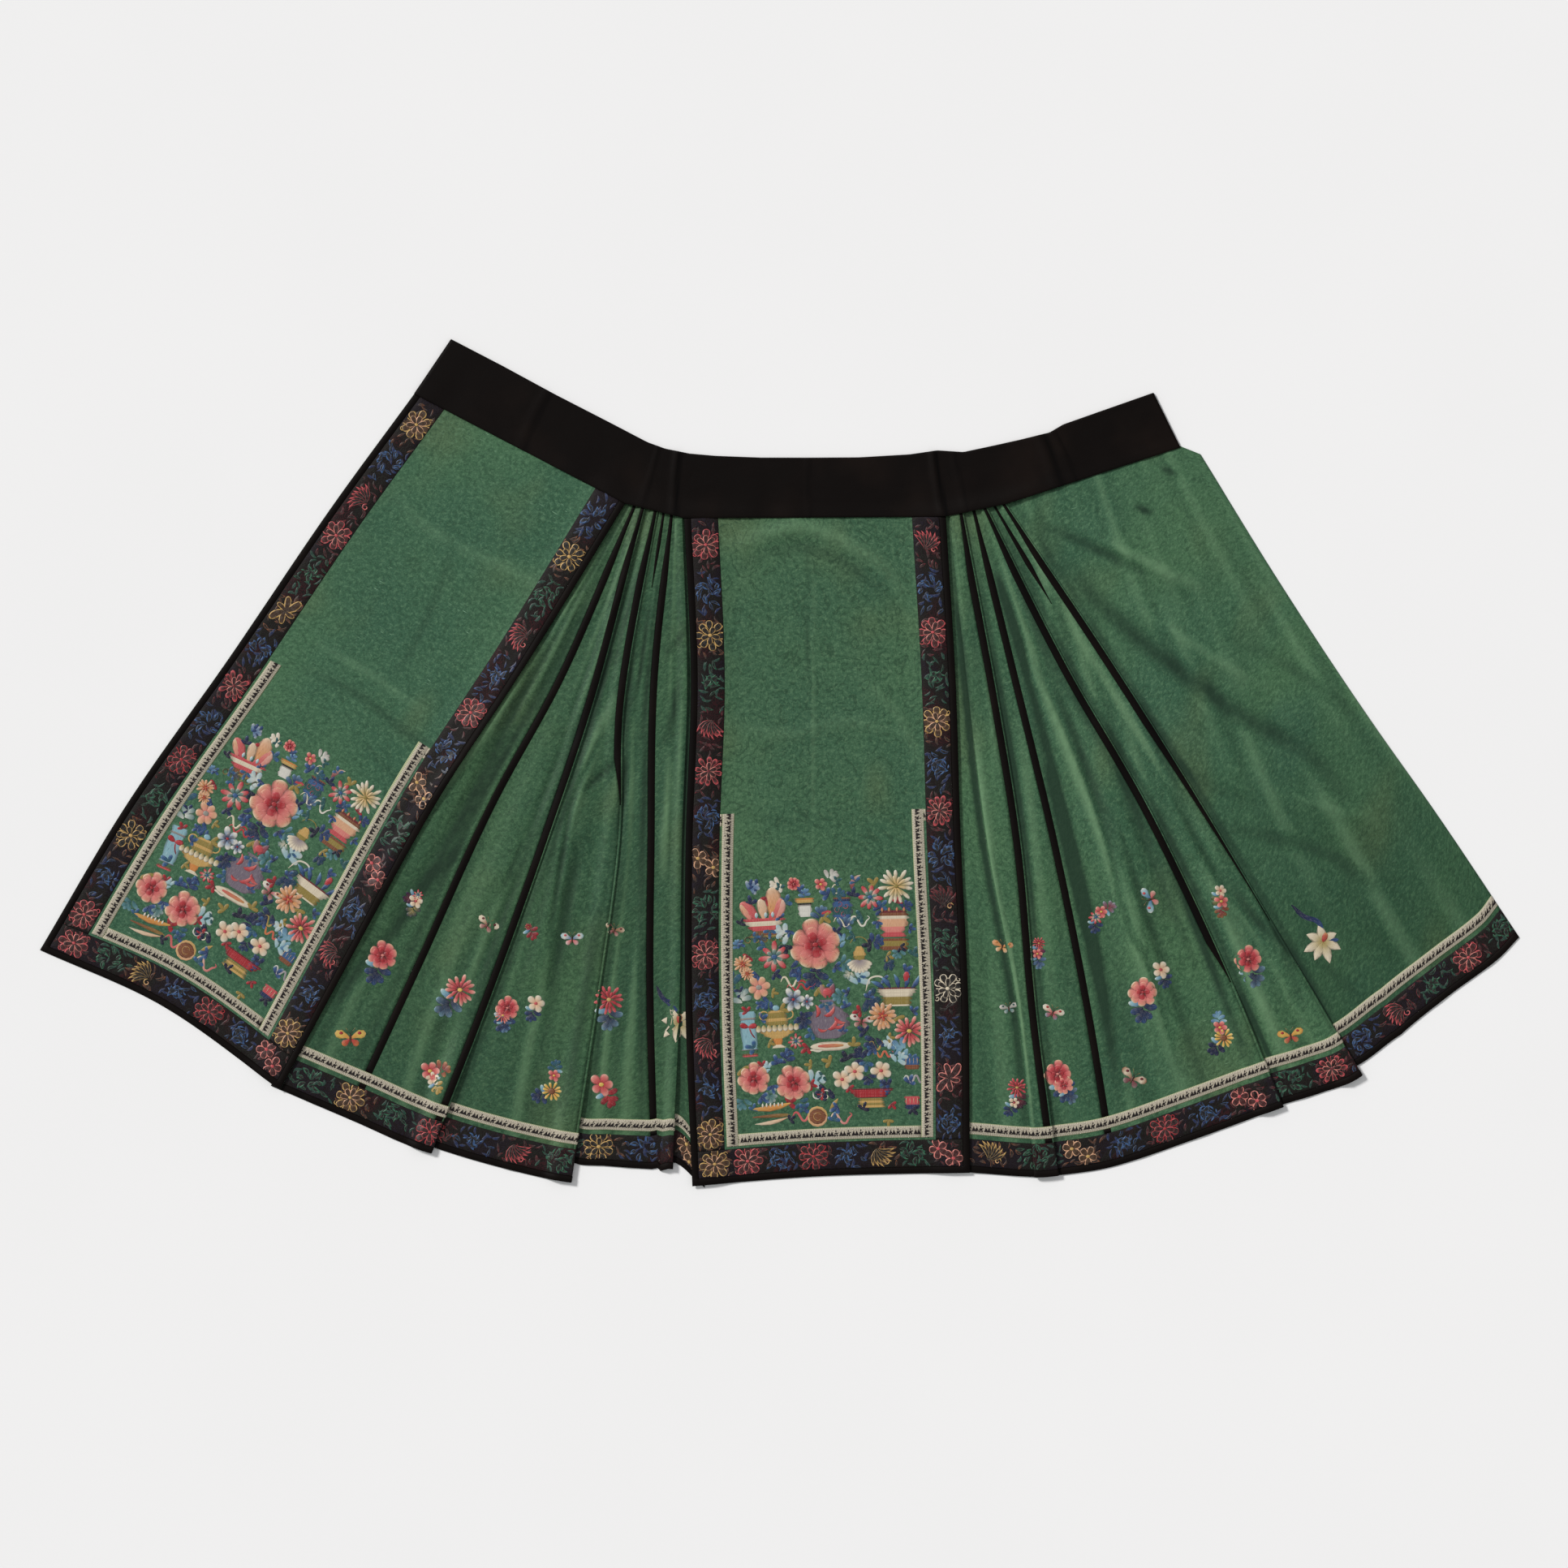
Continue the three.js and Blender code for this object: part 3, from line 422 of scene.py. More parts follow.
def make_rows(curves, distances, longest):
    """Rows across a sheet at distances from the hem."""
    distances = np.asarray(distances, float)
    down = np.clip(1 - distances / longest, 0, 1)
    evenness = smooth((distances - HEM_PARALLEL) / HEM_FADE)
    points = np.stack([
        along(curve, mix(1 - distances / curve[1][-1], down, evenness)) for curve in curves
    ], axis=1)
    steps = np.linalg.norm(np.diff(points, axis=1), axis=2)
    places = np.concatenate([np.zeros((len(distances), 1)), np.cumsum(steps, axis=1)], axis=1)
    return {"down": down, "distance": distances, "points": points, "places": places,
            "curl": smooth(down * 8)}


def row_point(rows, place):
    """Places in plan at distances along each row. place has one row for each row of the sheet."""
    places, points = rows["places"], rows["points"]
    last = places.shape[1] - 1
    k = sum((place > places[:, m:m + 1]).astype(int) for m in range(1, last)) if last > 1 else 0
    k = np.broadcast_to(k, place.shape)
    row = np.arange(len(places))[:, None]
    before, after = np.maximum(k - 1, 0), np.minimum(k + 2, last)
    start, end = points[row, k], points[row, k + 1]
    span = (places[row, k + 1] - places[row, k])[..., None]
    t = (place[..., None] - places[row, k][..., None]) / span
    slope_start = (end - points[row, before]) / (places[row, k + 1] - places[row, before])[..., None]
    slope_end = (points[row, after] - start) / (places[row, after] - places[row, k])[..., None]
    straight = start + (end - start) * t
    bend = smooth(t)
    cubic = (start * (1 - bend) + slope_start * span * t * (1 - t) ** 2 + end * bend
             + slope_end * span * t * t * (t - 1))
    inside = (t >= 0) & (t <= 1)
    curl = rows["curl"][:, None, None]
    return np.where(inside, straight + (cubic - straight) * curl, straight)


def row_up(rows, place):
    """Unit directions in plan from the hem towards the waist."""
    step = row_point(rows, place + 2) - row_point(rows, place - 2)
    up = np.stack([-step[..., 1], step[..., 0]], axis=-1)
    return up / np.linalg.norm(up, axis=-1, keepdims=True)


def pleat_levels(distance):
    """Heights of a pleat's three layers: further apart near the hem, for the borders between them."""
    thick = 1 - np.clip((distance - THICK_HEM_END) / (THIN_FROM - THICK_HEM_END), 0, 1)
    outer = mix(HALF_CLOTH, TRIM_OUT, thick)
    under = HALF_CLOTH + 2 * (outer + FOLD_ROOM)
    return {"bottom": HALF_CLOTH + 0 * under, "under": under,
            "top": under + 2 * (HALF_CLOTH + FOLD_ROOM),
            "turn": outer + FOLD_ROOM, "tip": HALF_CLOTH + FOLD_ROOM}


def pleat_sizes(rows):
    t = rows["down"]
    sizes = pleat_levels(rows["distance"])
    sizes["lap"] = mix(*LAP, np.sqrt(t))
    sizes["box_lap"] = mix(*BOX_LAP, t)
    sizes["ramp"] = mix(*RAMP, np.sqrt(t))
    sizes["clear"] = mix(*CLEAR, t)
    sizes["stripe"] = mix(*STRIPE_HALF, smooth(t / STRIPE_SPREAD))
    return sizes


def stripe_half(rows, sizes, name):
    """Half the width of a stripe, down to a point where it ends above the hem."""
    length = LONG_POINTS.get(name, STRIPE_POINT)
    fall = (rows["distance"] - STRIPE_ENDS.get(name, -length)) / length
    return sizes["stripe"] * np.clip(fall, NARROWEST_STRIPE, 1)


def point(place, height, tuck=0.0, marker=""):
    """A point of a section: place along the row, height, tuck towards the waist and a marker."""
    return place, height, tuck, marker


def turned(edge, reach, start, end, tuck=0.0):
    """A rounded fold from one height to another that bulges by reach to the place edge."""
    middle, radius = (start + end) / 2, (start - end) / 2
    angles = np.radians(np.linspace(90, -90, TURN_STEPS))
    return [point(edge - reach * (1 - math.cos(a)), middle + radius * math.sin(a), tuck) for a in angles]


def stripe_points(start, end, height, tuck, name):
    """Points across a stripe, with its rounded edges."""
    bevel = np.minimum(BEVEL, (end - start) / 4)
    return [
        point(start, height, tuck, f"{name}:start"),
        point(start + bevel, height, tuck),
        point((start + end) / 2, height, tuck),
        point(end - bevel, height, tuck),
        point(end, height, tuck, f"{name}:end"),
    ]


def flat_stripe(rows, place, sizes, tuck, name, share=1.0):
    half = stripe_half(rows, sizes, name) * share
    return stripe_points(place - half, place + half, sizes["bottom"], tuck, name)


def knife_pleat(rows, edge, sizes, lap, tuck, name, striped, clear=None):
    """A pleat whose fold edge faces right, with a stripe along the edge where it is striped."""
    clear = sizes["clear"] if clear is None else clear
    foot = edge - lap
    deep = pleat_levels(rows["distance"] + TUCK_LEAD * tuck)
    top, under, tip = sizes["top"], sizes["under"], sizes["tip"]
    points = [point(foot - PLEAT_FOOT, top)]
    if striped:
        end = edge - EDGE_INSET
        points += stripe_points(end - 2 * stripe_half(rows, sizes, name), end, top, 0.0, name)
    points += turned(edge, tip, top, under)
    points += turned(foot, -deep["turn"], deep["under"], deep["bottom"], tuck)
    points.append(point(edge + clear, deep["bottom"], tuck))
    return points


def left_pleat(edge, sizes):
    """A pleat whose fold edge faces left: the cloth from the left runs under it."""
    foot = edge + sizes["box_lap"]
    return [
        point(edge - sizes["clear"], sizes["bottom"]),
        *turned(foot, sizes["turn"], sizes["bottom"], sizes["under"]),
        *turned(edge, -sizes["tip"], sizes["under"], sizes["top"]),
    ]


def hem_step(name, rows):
    """How far the cloth past a fold is tucked towards the waist: most at the hem."""
    return HEM_STEP[name] * rows["down"] ** 3


def left_fan_section(rows):
    """Points across the left fan, from the left panel to the centre panel."""
    sizes = pleat_sizes(rows)
    start, stripe1, fold2, fold3, crease4, stripe5, fold6, end = rows["places"].T
    step2, step3, step6 = (hem_step(name, rows) for name in ("fold2", "fold3", "fold6"))
    narrow_lap = mix(LAP[0], NARROW_LAP, rows["down"])
    narrow_ramp = mix(RAMP[0], NARROW_RAMP, rows["down"])
    flat, lap, ramp = sizes["bottom"], sizes["lap"], sizes["ramp"]
    return [
        point(start - UNDER_LAP, flat, 0.0, "start"),
        point(start + sizes["clear"], flat),
        *flat_stripe(rows, stripe1, sizes, 0.0, "stripe1"),
        point(fold2 - lap - PLEAT_FOOT - ramp, flat),
        *knife_pleat(rows, fold2, sizes, lap, step2, "stripe2", True),
        point(fold3 - lap - PLEAT_FOOT - ramp, flat),
        *knife_pleat(rows, fold3, sizes, lap, step3, "stripe3", True),
        *flat_stripe(rows, crease4, sizes, step3 * 0.7, "stripe4", 0.8),
        *flat_stripe(rows, stripe5, sizes, step3 * 0.2, "stripe5"),
        point(fold6 - narrow_lap - PLEAT_FOOT - narrow_ramp, flat),
        *knife_pleat(rows, fold6, sizes, narrow_lap, step6, "edge6", False, 1.5),
        point(end + UNDER_LAP, flat, step6, "end"),
    ]


def right_fan_section(rows):
    """Points across the right fan and the plain panel, from the centre panel."""
    sizes = pleat_sizes(rows)
    (start, fold7, fold8, stripe9, _, fold10, crease11, fold12, near, middle, far, end) = rows["places"].T
    step10, step12 = (hem_step(name, rows) for name in ("fold10", "fold12"))
    flat, lap, ramp = sizes["bottom"], sizes["lap"], sizes["ramp"]
    return [
        point(start - UNDER_LAP, flat, 0.0, "start"),
        *left_pleat(fold7, sizes),
        *knife_pleat(rows, fold8, sizes, sizes["box_lap"], 0.0, "stripe8", True)[1:],
        *flat_stripe(rows, stripe9, sizes, 0.0, "stripe9"),
        point(fold10 - lap - PLEAT_FOOT - ramp, flat),
        *knife_pleat(rows, fold10, sizes, lap, step10, "stripe10", True),
        *flat_stripe(rows, crease11, sizes, step10 * 0.5, "stripe11", 0.8),
        point(fold12 - lap - PLEAT_FOOT - ramp * 0.8, flat),
        *knife_pleat(rows, fold12, sizes, lap, step12, "stripe12", True),
        point(near, flat),
        point(middle, flat),
        point(far, flat),
        point(end, flat, 0.0, "end"),
    ]


def raised_height(distance, raised):
    """Height of a panel's cloth at a distance from an edge that lies over its neighbour."""
    fall = smooth((distance - RAISED_WIDTH) / (RAISED_FOOT - RAISED_WIDTH))
    return mix(RAISED_EDGE, HALF_CLOTH, fall) if raised else HALF_CLOTH + 0 * distance


# Places of the trims' edges across a panel, from its cut edge, and the names of those that pieces use
PANEL_EDGES = [
    (0, "edge"), (BEVEL, ""), (BINDING - BEVEL, ""), (BINDING, "field"), (BINDING + BEVEL, ""),
    (18, ""), (27, ""), (36, ""), (PANEL_FIELD - BEVEL, ""), (PANEL_FIELD, "open"),
    (PANEL_RIBBON_OUT, "ribbon"), (PANEL_RIBBON_OUT + BEVEL, ""), (PANEL_RIBBON_IN - BEVEL, ""),
    (PANEL_RIBBON_IN, "square"),
]


def panel_section(raised_left, raised_right):
    """Points across a bordered panel, with the edges raised that lie over a neighbour."""
    def section(rows):
        width = rows["places"][:, -1]
        points = []
        sides = (("left", raised_left, PANEL_EDGES), ("right", raised_right, PANEL_EDGES[::-1]))
        for side, raised, edges in sides:
            for distance, name in edges:
                inward = distance + 0 * width
                place = inward if side == "left" else width - distance
                marker = f"{side}:{name}" if name else ""
                points.append(point(place, raised_height(inward, raised), 0.0, marker))
        return points
    return section


def fine_distances(keys, longest):
    """Distances from the hem at which a sheet has a row, from the waist down, the key ones among them."""
    keys = sorted({longest, *keys}, reverse=True)
    out = []
    for high, low in zip(keys, keys[1:]):
        count = max(1, round((high - low) / ROW_STEP))
        out += [mix(high, low, k / count) for k in range(count)]
    return np.array([*out, keys[-1]])


class Sheet:
    """A cloth as a grid of rows and columns, with the surface at any offset from its middle."""

    def __init__(self, names, keys, longest, section_of, ripples=0.0):
        self.curves = [line_curve(name) for name in names]
        self.longest = longest
        self.distances = fine_distances(keys, longest)
        self.rows = make_rows(self.curves, self.distances, longest)
        self.section_of = section_of
        self.markers = {}
        self.refine(section_of(self.rows))
        self.set_normals()
        middle = self.plan(self.place)
        self.soft, self.tone = relief(middle[..., 0], middle[..., 1])
        ripple = self.ripple(ripples)
        self.soft = np.maximum(0, self.soft + RIPPLE_RISE * ripple)
        # Ripples get painted highlight on their crests and painted shade in their troughs
        self.tone = self.tone - RIPPLE_PAINTED_SHADING * ripple
        self.measure()

    def ripple(self, share):
        """Long soft folds that run with the gores, uneven in width and depth."""
        across = self.place / self.rows["places"][:, -1:]
        down = self.distances[:, None]
        broad = np.sin(2 * np.pi * RIPPLES[0] * across + 1.7 * np.sin(down / 170) + 2)
        narrow = np.sin(2 * np.pi * RIPPLES[1] * across + 1.3 * np.sin(down / 95) + down / 310)
        return share * (0.6 * broad + 0.4 * narrow) * (0.55 + 0.45 * np.sin(across * 23 + down / 120))

    def refine(self, section):
        """Splits the section's long spans into columns, with soft ramps between heights."""
        count = len(self.distances)
        columns = [[np.broadcast_to(np.asarray(value, float), (count,)) for value in item[:3]]
                   for item in section]
        fine = []
        for k, item in enumerate(section):
            if item[3]:
                self.markers[item[3]] = len(fine)
            if k == len(section) - 1:
                fine.append(columns[k])
                break
            here, there = columns[k], columns[k + 1]
            widest = np.max(np.abs(there[0] - here[0]))
            steps = max(1, round(widest / COLUMN_STEP))
            for s in range(steps):
                t = s / steps
                fine.append([mix(here[0], there[0], t), mix(here[1], there[1], smooth(t)),
                             mix(here[2], there[2], t)])
        self.place, self.height, self.tuck = (np.stack([c[n] for c in fine], axis=1) for n in range(3))

    def set_normals(self):
        """Mitred offset directions in the plane of place and height."""
        dx, dz = np.diff(self.place, axis=1), np.diff(self.height, axis=1)
        length = np.maximum(np.hypot(dx, dz), 1e-6)
        nx, nz = -dz / length, dx / length
        first_x, first_z = (np.concatenate([n[:, :1], n], axis=1) for n in (nx, nz))
        second_x, second_z = (np.concatenate([n, n[:, -1:]], axis=1) for n in (nx, nz))
        scale = 1 / np.maximum(1 + first_x * second_x + first_z * second_z, 0.5)
        self.normal_x, self.normal_z = (first_x + second_x) * scale, (first_z + second_z) * scale

    def plan(self, place):
        return row_point(self.rows, place) + row_up(self.rows, place) * self.tuck[..., None]

    def surface(self, offset):
        """Positions at an offset from the middle of the cloth, one number or one for each grid point."""
        flat = self.plan(self.place + self.normal_x * offset)
        z = self.height + self.normal_z * offset + self.soft
        return np.concatenate([flat, z[..., None]], axis=2)

    def measure(self):
        """Flat coordinates: distance across the cloth and distance from the hem."""
        middle = self.surface(0.0)
        across = np.linalg.norm(np.diff(middle, axis=1), axis=2)
        self.u = np.concatenate([np.zeros((len(middle), 1)), np.cumsum(across, axis=1)], axis=1)
        self.v = np.broadcast_to(self.distances[:, None], self.u.shape)

    def row_at(self, distance):
        return int(np.argmin(np.abs(self.distances - distance)))

    def block(self, column_from, column_to, row_from, row_to):
        mask = np.zeros((self.u.shape[0] - 1, self.u.shape[1] - 1), bool)
        mask[row_from:row_to, column_from:column_to] = True
        return mask


def shell(sheet, mask, inner, outer, uv, edge_share=1.0):
    """A closed wall over the cells of a mask, as vertices, quads, flat coordinates and painted crease
    shading.
    """
    count = np.zeros((mask.shape[0] + 1, mask.shape[1] + 1), int)
    for rows, columns in ((slice(0, -1), slice(0, -1)), (slice(1, None), slice(0, -1)),
                          (slice(0, -1), slice(1, None)), (slice(1, None), slice(1, None))):
        count[rows, columns] += mask
    used = count > 0
    lip = mix(inner, outer, edge_share)
    offset = np.where(count == 4, outer, lip)
    low, high = sheet.surface(inner)[used], sheet.surface(offset)[used]
    number = np.full(used.shape, -1)
    number[used] = np.arange(used.sum())
    total = int(used.sum())
    j, i = np.nonzero(mask)
    a, b, c, d = number[j, i], number[j, i + 1], number[j + 1, i + 1], number[j + 1, i]
    quads = [np.stack([a, d, c, b], axis=1) + total, np.stack([a, b, c, d], axis=1)]
    padded = np.pad(mask, 1)
    for (dj, di), start, end in (((-1, 0), a, b), ((0, 1), b, c), ((1, 0), c, d), ((0, -1), d, a)):
        rim = ~padded[j + 1 + dj, i + 1 + di]
        s, e = start[rim], end[rim]
        quads.append(np.stack([s, s + total, e + total, e], axis=1))
    flat = np.stack(uv, axis=-1)[used]
    tone = sheet.tone[used]
    return {"points": np.concatenate([low, high]), "quads": np.concatenate(quads),
            "uv": np.concatenate([flat, flat]), "tone": np.concatenate([tone, tone])}


def joined(shells):
    """Several shells as one."""
    start, quads = 0, []
    for part in shells:
        quads.append(part["quads"] + start)
        start += len(part["points"])
    whole = {key: np.concatenate([part[key] for part in shells]) for key in ("points", "uv", "tone")}
    return {**whole, "quads": np.concatenate(quads)}


def add_piece(name, points, faces, flat, material, attribute):
    """A mesh piece on the skirt's body, with flat coordinates and one attribute that its material reads."""
    mesh = bpy.data.meshes.new(name)
    placed = (points + [SHIFT[0], SHIFT[1], 0]) * MM
    mesh.from_pydata(placed.tolist(), [], faces.tolist())
    layer = mesh.uv_layers.new(name="flat")
    corners = np.empty(len(mesh.loops), int)
    mesh.loops.foreach_get("vertex_index", corners)
    layer.data.foreach_set("uv", (flat[corners] * MM).ravel())
    title, kind, field, values = attribute
    mesh.attributes.new(title, kind, "POINT").data.foreach_set(field, values.ravel())
    mesh.polygons.foreach_set("use_smooth", np.ones(len(mesh.polygons), bool))
    mesh.materials.append(material)
    mesh.update()
    piece = bpy.data.objects.new(name, mesh)
    bpy.context.scene.collection.objects.link(piece)
    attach(piece, "root")
    return piece


def add_cloth(name, part, material, node):
    """A cloth piece that stands for a CAD node."""
    # The tone attribute carries the creases' painted shade and painted highlight to the material
    tone = ("tone", "FLOAT", "value", part["tone"].astype(float))
    piece = add_piece(name, part["points"], part["quads"], part["uv"], material, tone)
    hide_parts(node)
    return piece


def linear(shares):
    """Display values from 0 to 1 as the linear values that a shader takes."""
    return np.where(shares <= 0.04045, shares / 12.92, ((shares + 0.055) / 1.055) ** 2.4)


def rgb(red, green, blue):
    """Display colour from 0 to 255 as a shader's colour."""
    return (*linear(np.array([red, green, blue]) / 255).tolist(), 1.0)


class Material:
    """A node material with short calls for its nodes."""

    def __init__(self, name, roughness, specular, sheen=0.0, sheen_tint=(1, 1, 1, 1)):
        self.data = bpy.data.materials.new(name)
        self.data.use_nodes = True
        self.tree = self.data.node_tree
        self.shader = self.tree.nodes["Principled BSDF"]
        self.shader.inputs["Roughness"].default_value = roughness
        self.shader.inputs["Specular IOR Level"].default_value = specular
        self.shader.inputs["Sheen Weight"].default_value = sheen
        self.shader.inputs["Sheen Roughness"].default_value = 0.4
        self.shader.inputs["Sheen Tint"].default_value = sheen_tint

    def put(self, socket, value):
        if isinstance(value, bpy.types.NodeSocket):
            self.tree.links.new(value, socket)
        else:
            socket.default_value = value

    def node(self, kind, inputs=(), **settings):
        made = self.tree.nodes.new(kind)
        for key, value in settings.items():
            setattr(made, key, value)
        for key, value in dict(inputs).items():
            self.put(made.inputs[key], value)
        return made

    def math(self, operation, a, b=0.5, c=0.5):
        made = self.tree.nodes.new("ShaderNodeMath")
        made.operation = operation
        for socket, value in zip(made.inputs, (a, b, c)):
            self.put(socket, value)
        return made.outputs[0]

    def blend(self, share, first, second, mode="MIX"):
        made = self.tree.nodes.new("ShaderNodeMix")
        made.data_type = "RGBA"
        made.blend_type = mode
        for index, value in ((0, share), (6, first), (7, second)):
            self.put(made.inputs[index], value)
        return made.outputs[2]

    def fade(self, value, low, high):
        """0 at low and below, 1 at high and above."""
        made = self.node("ShaderNodeMapRange", {"Value": value, "From Min": low, "From Max": high},
                         interpolation_type="SMOOTHSTEP")
        return made.outputs[0]

    def flat(self, scale_u=1.0, scale_v=1.0, turn=0.0):
        """Flat coordinates of the cloth, scaled."""
        place = self.node("ShaderNodeUVMap", uv_map="flat").outputs[0]
        made = self.node("ShaderNodeMapping", {"Vector": place})
        made.inputs["Scale"].default_value = (scale_u, scale_v, 1)
        made.inputs["Rotation"].default_value = (0, 0, turn)
        return made.outputs[0]

    def noise(self, vector, scale, detail=2.0, roughness=0.5, distortion=0.0):
        made = self.node("ShaderNodeTexNoise", {
            "Vector": vector, "Scale": scale, "Detail": detail, "Roughness": roughness,
            "Distortion": distortion,
        })
        return made.outputs[0]

    def cells(self, vector, scale):
        return self.node("ShaderNodeTexVoronoi", {"Vector": vector, "Scale": scale}).outputs[0]

    def attribute(self, name, output):
        return self.node("ShaderNodeAttribute", attribute_name=name).outputs[output]

    def stain(self, colour, texture, low, high, strength, dye):
        """Lays a dye over a colour where a texture goes from low to high."""
        return self.blend(self.math("MULTIPLY", self.fade(texture, low, high), strength), colour, dye)

    def finish(self, colour, height=None, strength=0.3, distance=0.0005):
        self.put(self.shader.inputs["Base Color"], colour)
        if height is not None:
            bump = self.node("ShaderNodeBump", {"Height": height, "Strength": strength, "Distance": distance})
            self.put(self.shader.inputs["Normal"], bump.outputs[0])
        return self.data


def damask_material(name, slubs, pattern, hem_darkness, tint):
    """Green silk damask: meandering tone-on-tone lines, slubs, faded patches, and painted shade and highlight
    along the creases.
    """
    m = Material(name, 0.6, 0.2, 0.08, rgb(190, 215, 195))
    place = m.flat()

    # Broad tone and faded patches
    broad = m.noise(place, 3.1, 3.0, 0.55)
    patch = m.noise(m.flat(1.0, 0.7, 0.5), 6.5, 2.0)
    colour = m.blend(m.fade(broad, 0.36, 0.66), rgb(50, 88, 69), rgb(69, 105, 77))
    colour = m.stain(colour, patch, 0.52, 0.72, 0.6, rgb(84, 100, 70))
    colour = m.stain(colour, patch, 0.42, 0.25, 0.4, rgb(44, 84, 74))

    # Meandering lines of the weave
    swirl = m.noise(place, 30.0, 1.0, 0.5, 1.4)
    rosette = m.cells(m.flat(1.0, 0.9), 17.0)
    contour = m.math("ADD", m.math("MULTIPLY", swirl, 4.4), m.math("MULTIPLY", rosette, 1.6))
    contour = m.math("PINGPONG", contour, 0.5)
    body = m.fade(contour, 0.2, 0.35)
    colour = m.stain(colour, contour, 0.13, 0.05, 0.55 * pattern, rgb(30, 60, 44))
    colour = m.blend(m.math("MULTIPLY", body, 0.05 * pattern), colour, rgb(110, 146, 118))

    # Slubs, single threads, grain and mottling
    streak = m.fade(m.noise(m.flat(95, 1250), 1.0, 1.0), 0.66, 0.78)
    rare = m.fade(m.noise(place, 22.0, 1.0), 0.5, 0.7)
    slub = m.math("MULTIPLY", m.math("MULTIPLY", streak, rare), slubs)
    colour = m.blend(slub, colour, rgb(150, 186, 160))
    thread = m.noise(m.flat(260, 2600), 1.0, 2.0)
    grain = m.noise(m.flat(620, 420), 1.0, 3.0, 0.7)
    mottle = m.noise(place, 190.0, 3.0, 0.65, 0.3)
    for texture, low, high, strength, dye in (
            (thread, 0.55, 0.3, 0.5, rgb(34, 64, 48)),
            (grain, 0.5, 0.25, 0.55, rgb(38, 68, 50)), (grain, 0.5, 0.75, 0.5, rgb(106, 136, 108)),
            (mottle, 0.5, 0.32, 0.5, rgb(38, 68, 50)), (mottle, 0.5, 0.68, 0.4, rgb(98, 132, 104))):
        colour = m.stain(colour, texture, low, high, strength, dye)
    # Darker towards the hem
    hemward = m.node("ShaderNodeSeparateXYZ", {"Vector": place}).outputs[1]
    darker_to_hem = m.math("MULTIPLY", m.fade(hemward, 0.6, 0.1), hem_darkness)
    colour = m.blend(darker_to_hem, colour, rgb(200, 210, 200), "MULTIPLY")

    # Creases: painted shade in the troughs and painted highlight on the ridges
    crease_painted_shading = m.attribute("tone", "Fac")
    uneven = m.math("MULTIPLY_ADD", m.noise(place, 60.0, 2.0), 0.8, 0.6)
    dark = m.math("MULTIPLY", m.math("MAXIMUM", crease_painted_shading, 0.0), uneven)
    light = m.math("MULTIPLY", m.math("MAXIMUM", m.math("MULTIPLY", crease_painted_shading, -1.0), 0.0), uneven)
    colour = m.blend(m.math("MINIMUM", dark, 0.9), colour, rgb(24, 48, 36))
    colour = m.blend(m.math("MINIMUM", light, 0.7), colour, rgb(112, 146, 116))
    colour = m.blend(tint[3], colour, tint, "MULTIPLY")
    pucker = m.noise(m.flat(1.0, 0.55), 75.0, 3.0, 0.6)
    height = m.math("ADD", m.math("MULTIPLY", pucker, 2.4), m.math("MULTIPLY", thread, 0.35))
    height = m.math("ADD", height, m.math("MULTIPLY", body, 0.12))
    return m.finish(colour, height, 0.5, 0.0007)


def satin_material(name, brown):
    """Black satin: fine crosswise sheen, brown wear, small creases and painted shade along the deeper
    creases.
    """
    m = Material(name, 0.62, 0.07, 0.015, rgb(150, 120, 110))
    colour = m.stain(rgb(10, 6, 5), m.noise(m.flat(), 9.0, 3.0), 0.45, 0.75, brown, rgb(28, 19, 15))
    thread = m.noise(m.flat(320, 3200), 1.0, 2.0)
    colour = m.stain(colour, thread, 0.5, 0.75, 0.2, rgb(30, 22, 18))
    # Painted shade in the troughs of the creases
    crease_painted_shading = m.attribute("tone", "Fac")
    colour = m.blend(m.math("MINIMUM", m.math("MAXIMUM", crease_painted_shading, 0.0), 1.0), colour, rgb(3, 2, 2))
    crease = m.noise(m.flat(1, 0.6), 55.0, 3.0)
    height = m.math("ADD", m.math("MULTIPLY", crease, 1.5), m.math("MULTIPLY", thread, 0.3))
    return m.finish(colour, height, 0.4, 0.0006)


def brocade_material():
    """Near-black brocade ground with small woven leaves in dark blue, green and red."""
    m = Material("brocade_weave", 0.62, 0.18, 0.06, rgb(160, 140, 140))
    bent = m.node("ShaderNodeVectorMath", {0: m.flat()}, operation="ADD")
    wobble = m.node("ShaderNodeTexNoise", {"Vector": m.flat(), "Scale": 70.0, "Detail": 1.0})
    push = m.node("ShaderNodeVectorMath", {0: wobble.outputs["Color"], "Scale": 0.012}, operation="SCALE")
    m.put(bent.inputs[1], push.outputs[0])
    leaf = m.cells(bent.outputs[0], 170.0)
    shape = m.fade(m.math("PINGPONG", m.math("MULTIPLY", leaf, 3.0), 0.5), 0.18, 0.36)
    zone = m.noise(m.flat(), 13.0, 1.0)
    tone = m.blend(m.fade(zone, 0.44, 0.5), rgb(30, 24, 42), rgb(28, 36, 28))
    tone = m.blend(m.fade(zone, 0.56, 0.61), tone, rgb(66, 18, 26))
    colour = m.blend(m.math("MULTIPLY", shape, 0.4), rgb(17, 8, 8), tone)
    thread = m.noise(m.flat(900, 2400), 1.0, 1.0)
    colour = m.stain(colour, thread, 0.5, 0.25, 0.4, rgb(10, 7, 8))
    height = m.math("ADD", m.math("MULTIPLY", thread, 0.5), m.math("MULTIPLY", shape, 0.6))
    return m.finish(colour, height, 0.5, 0.0004)


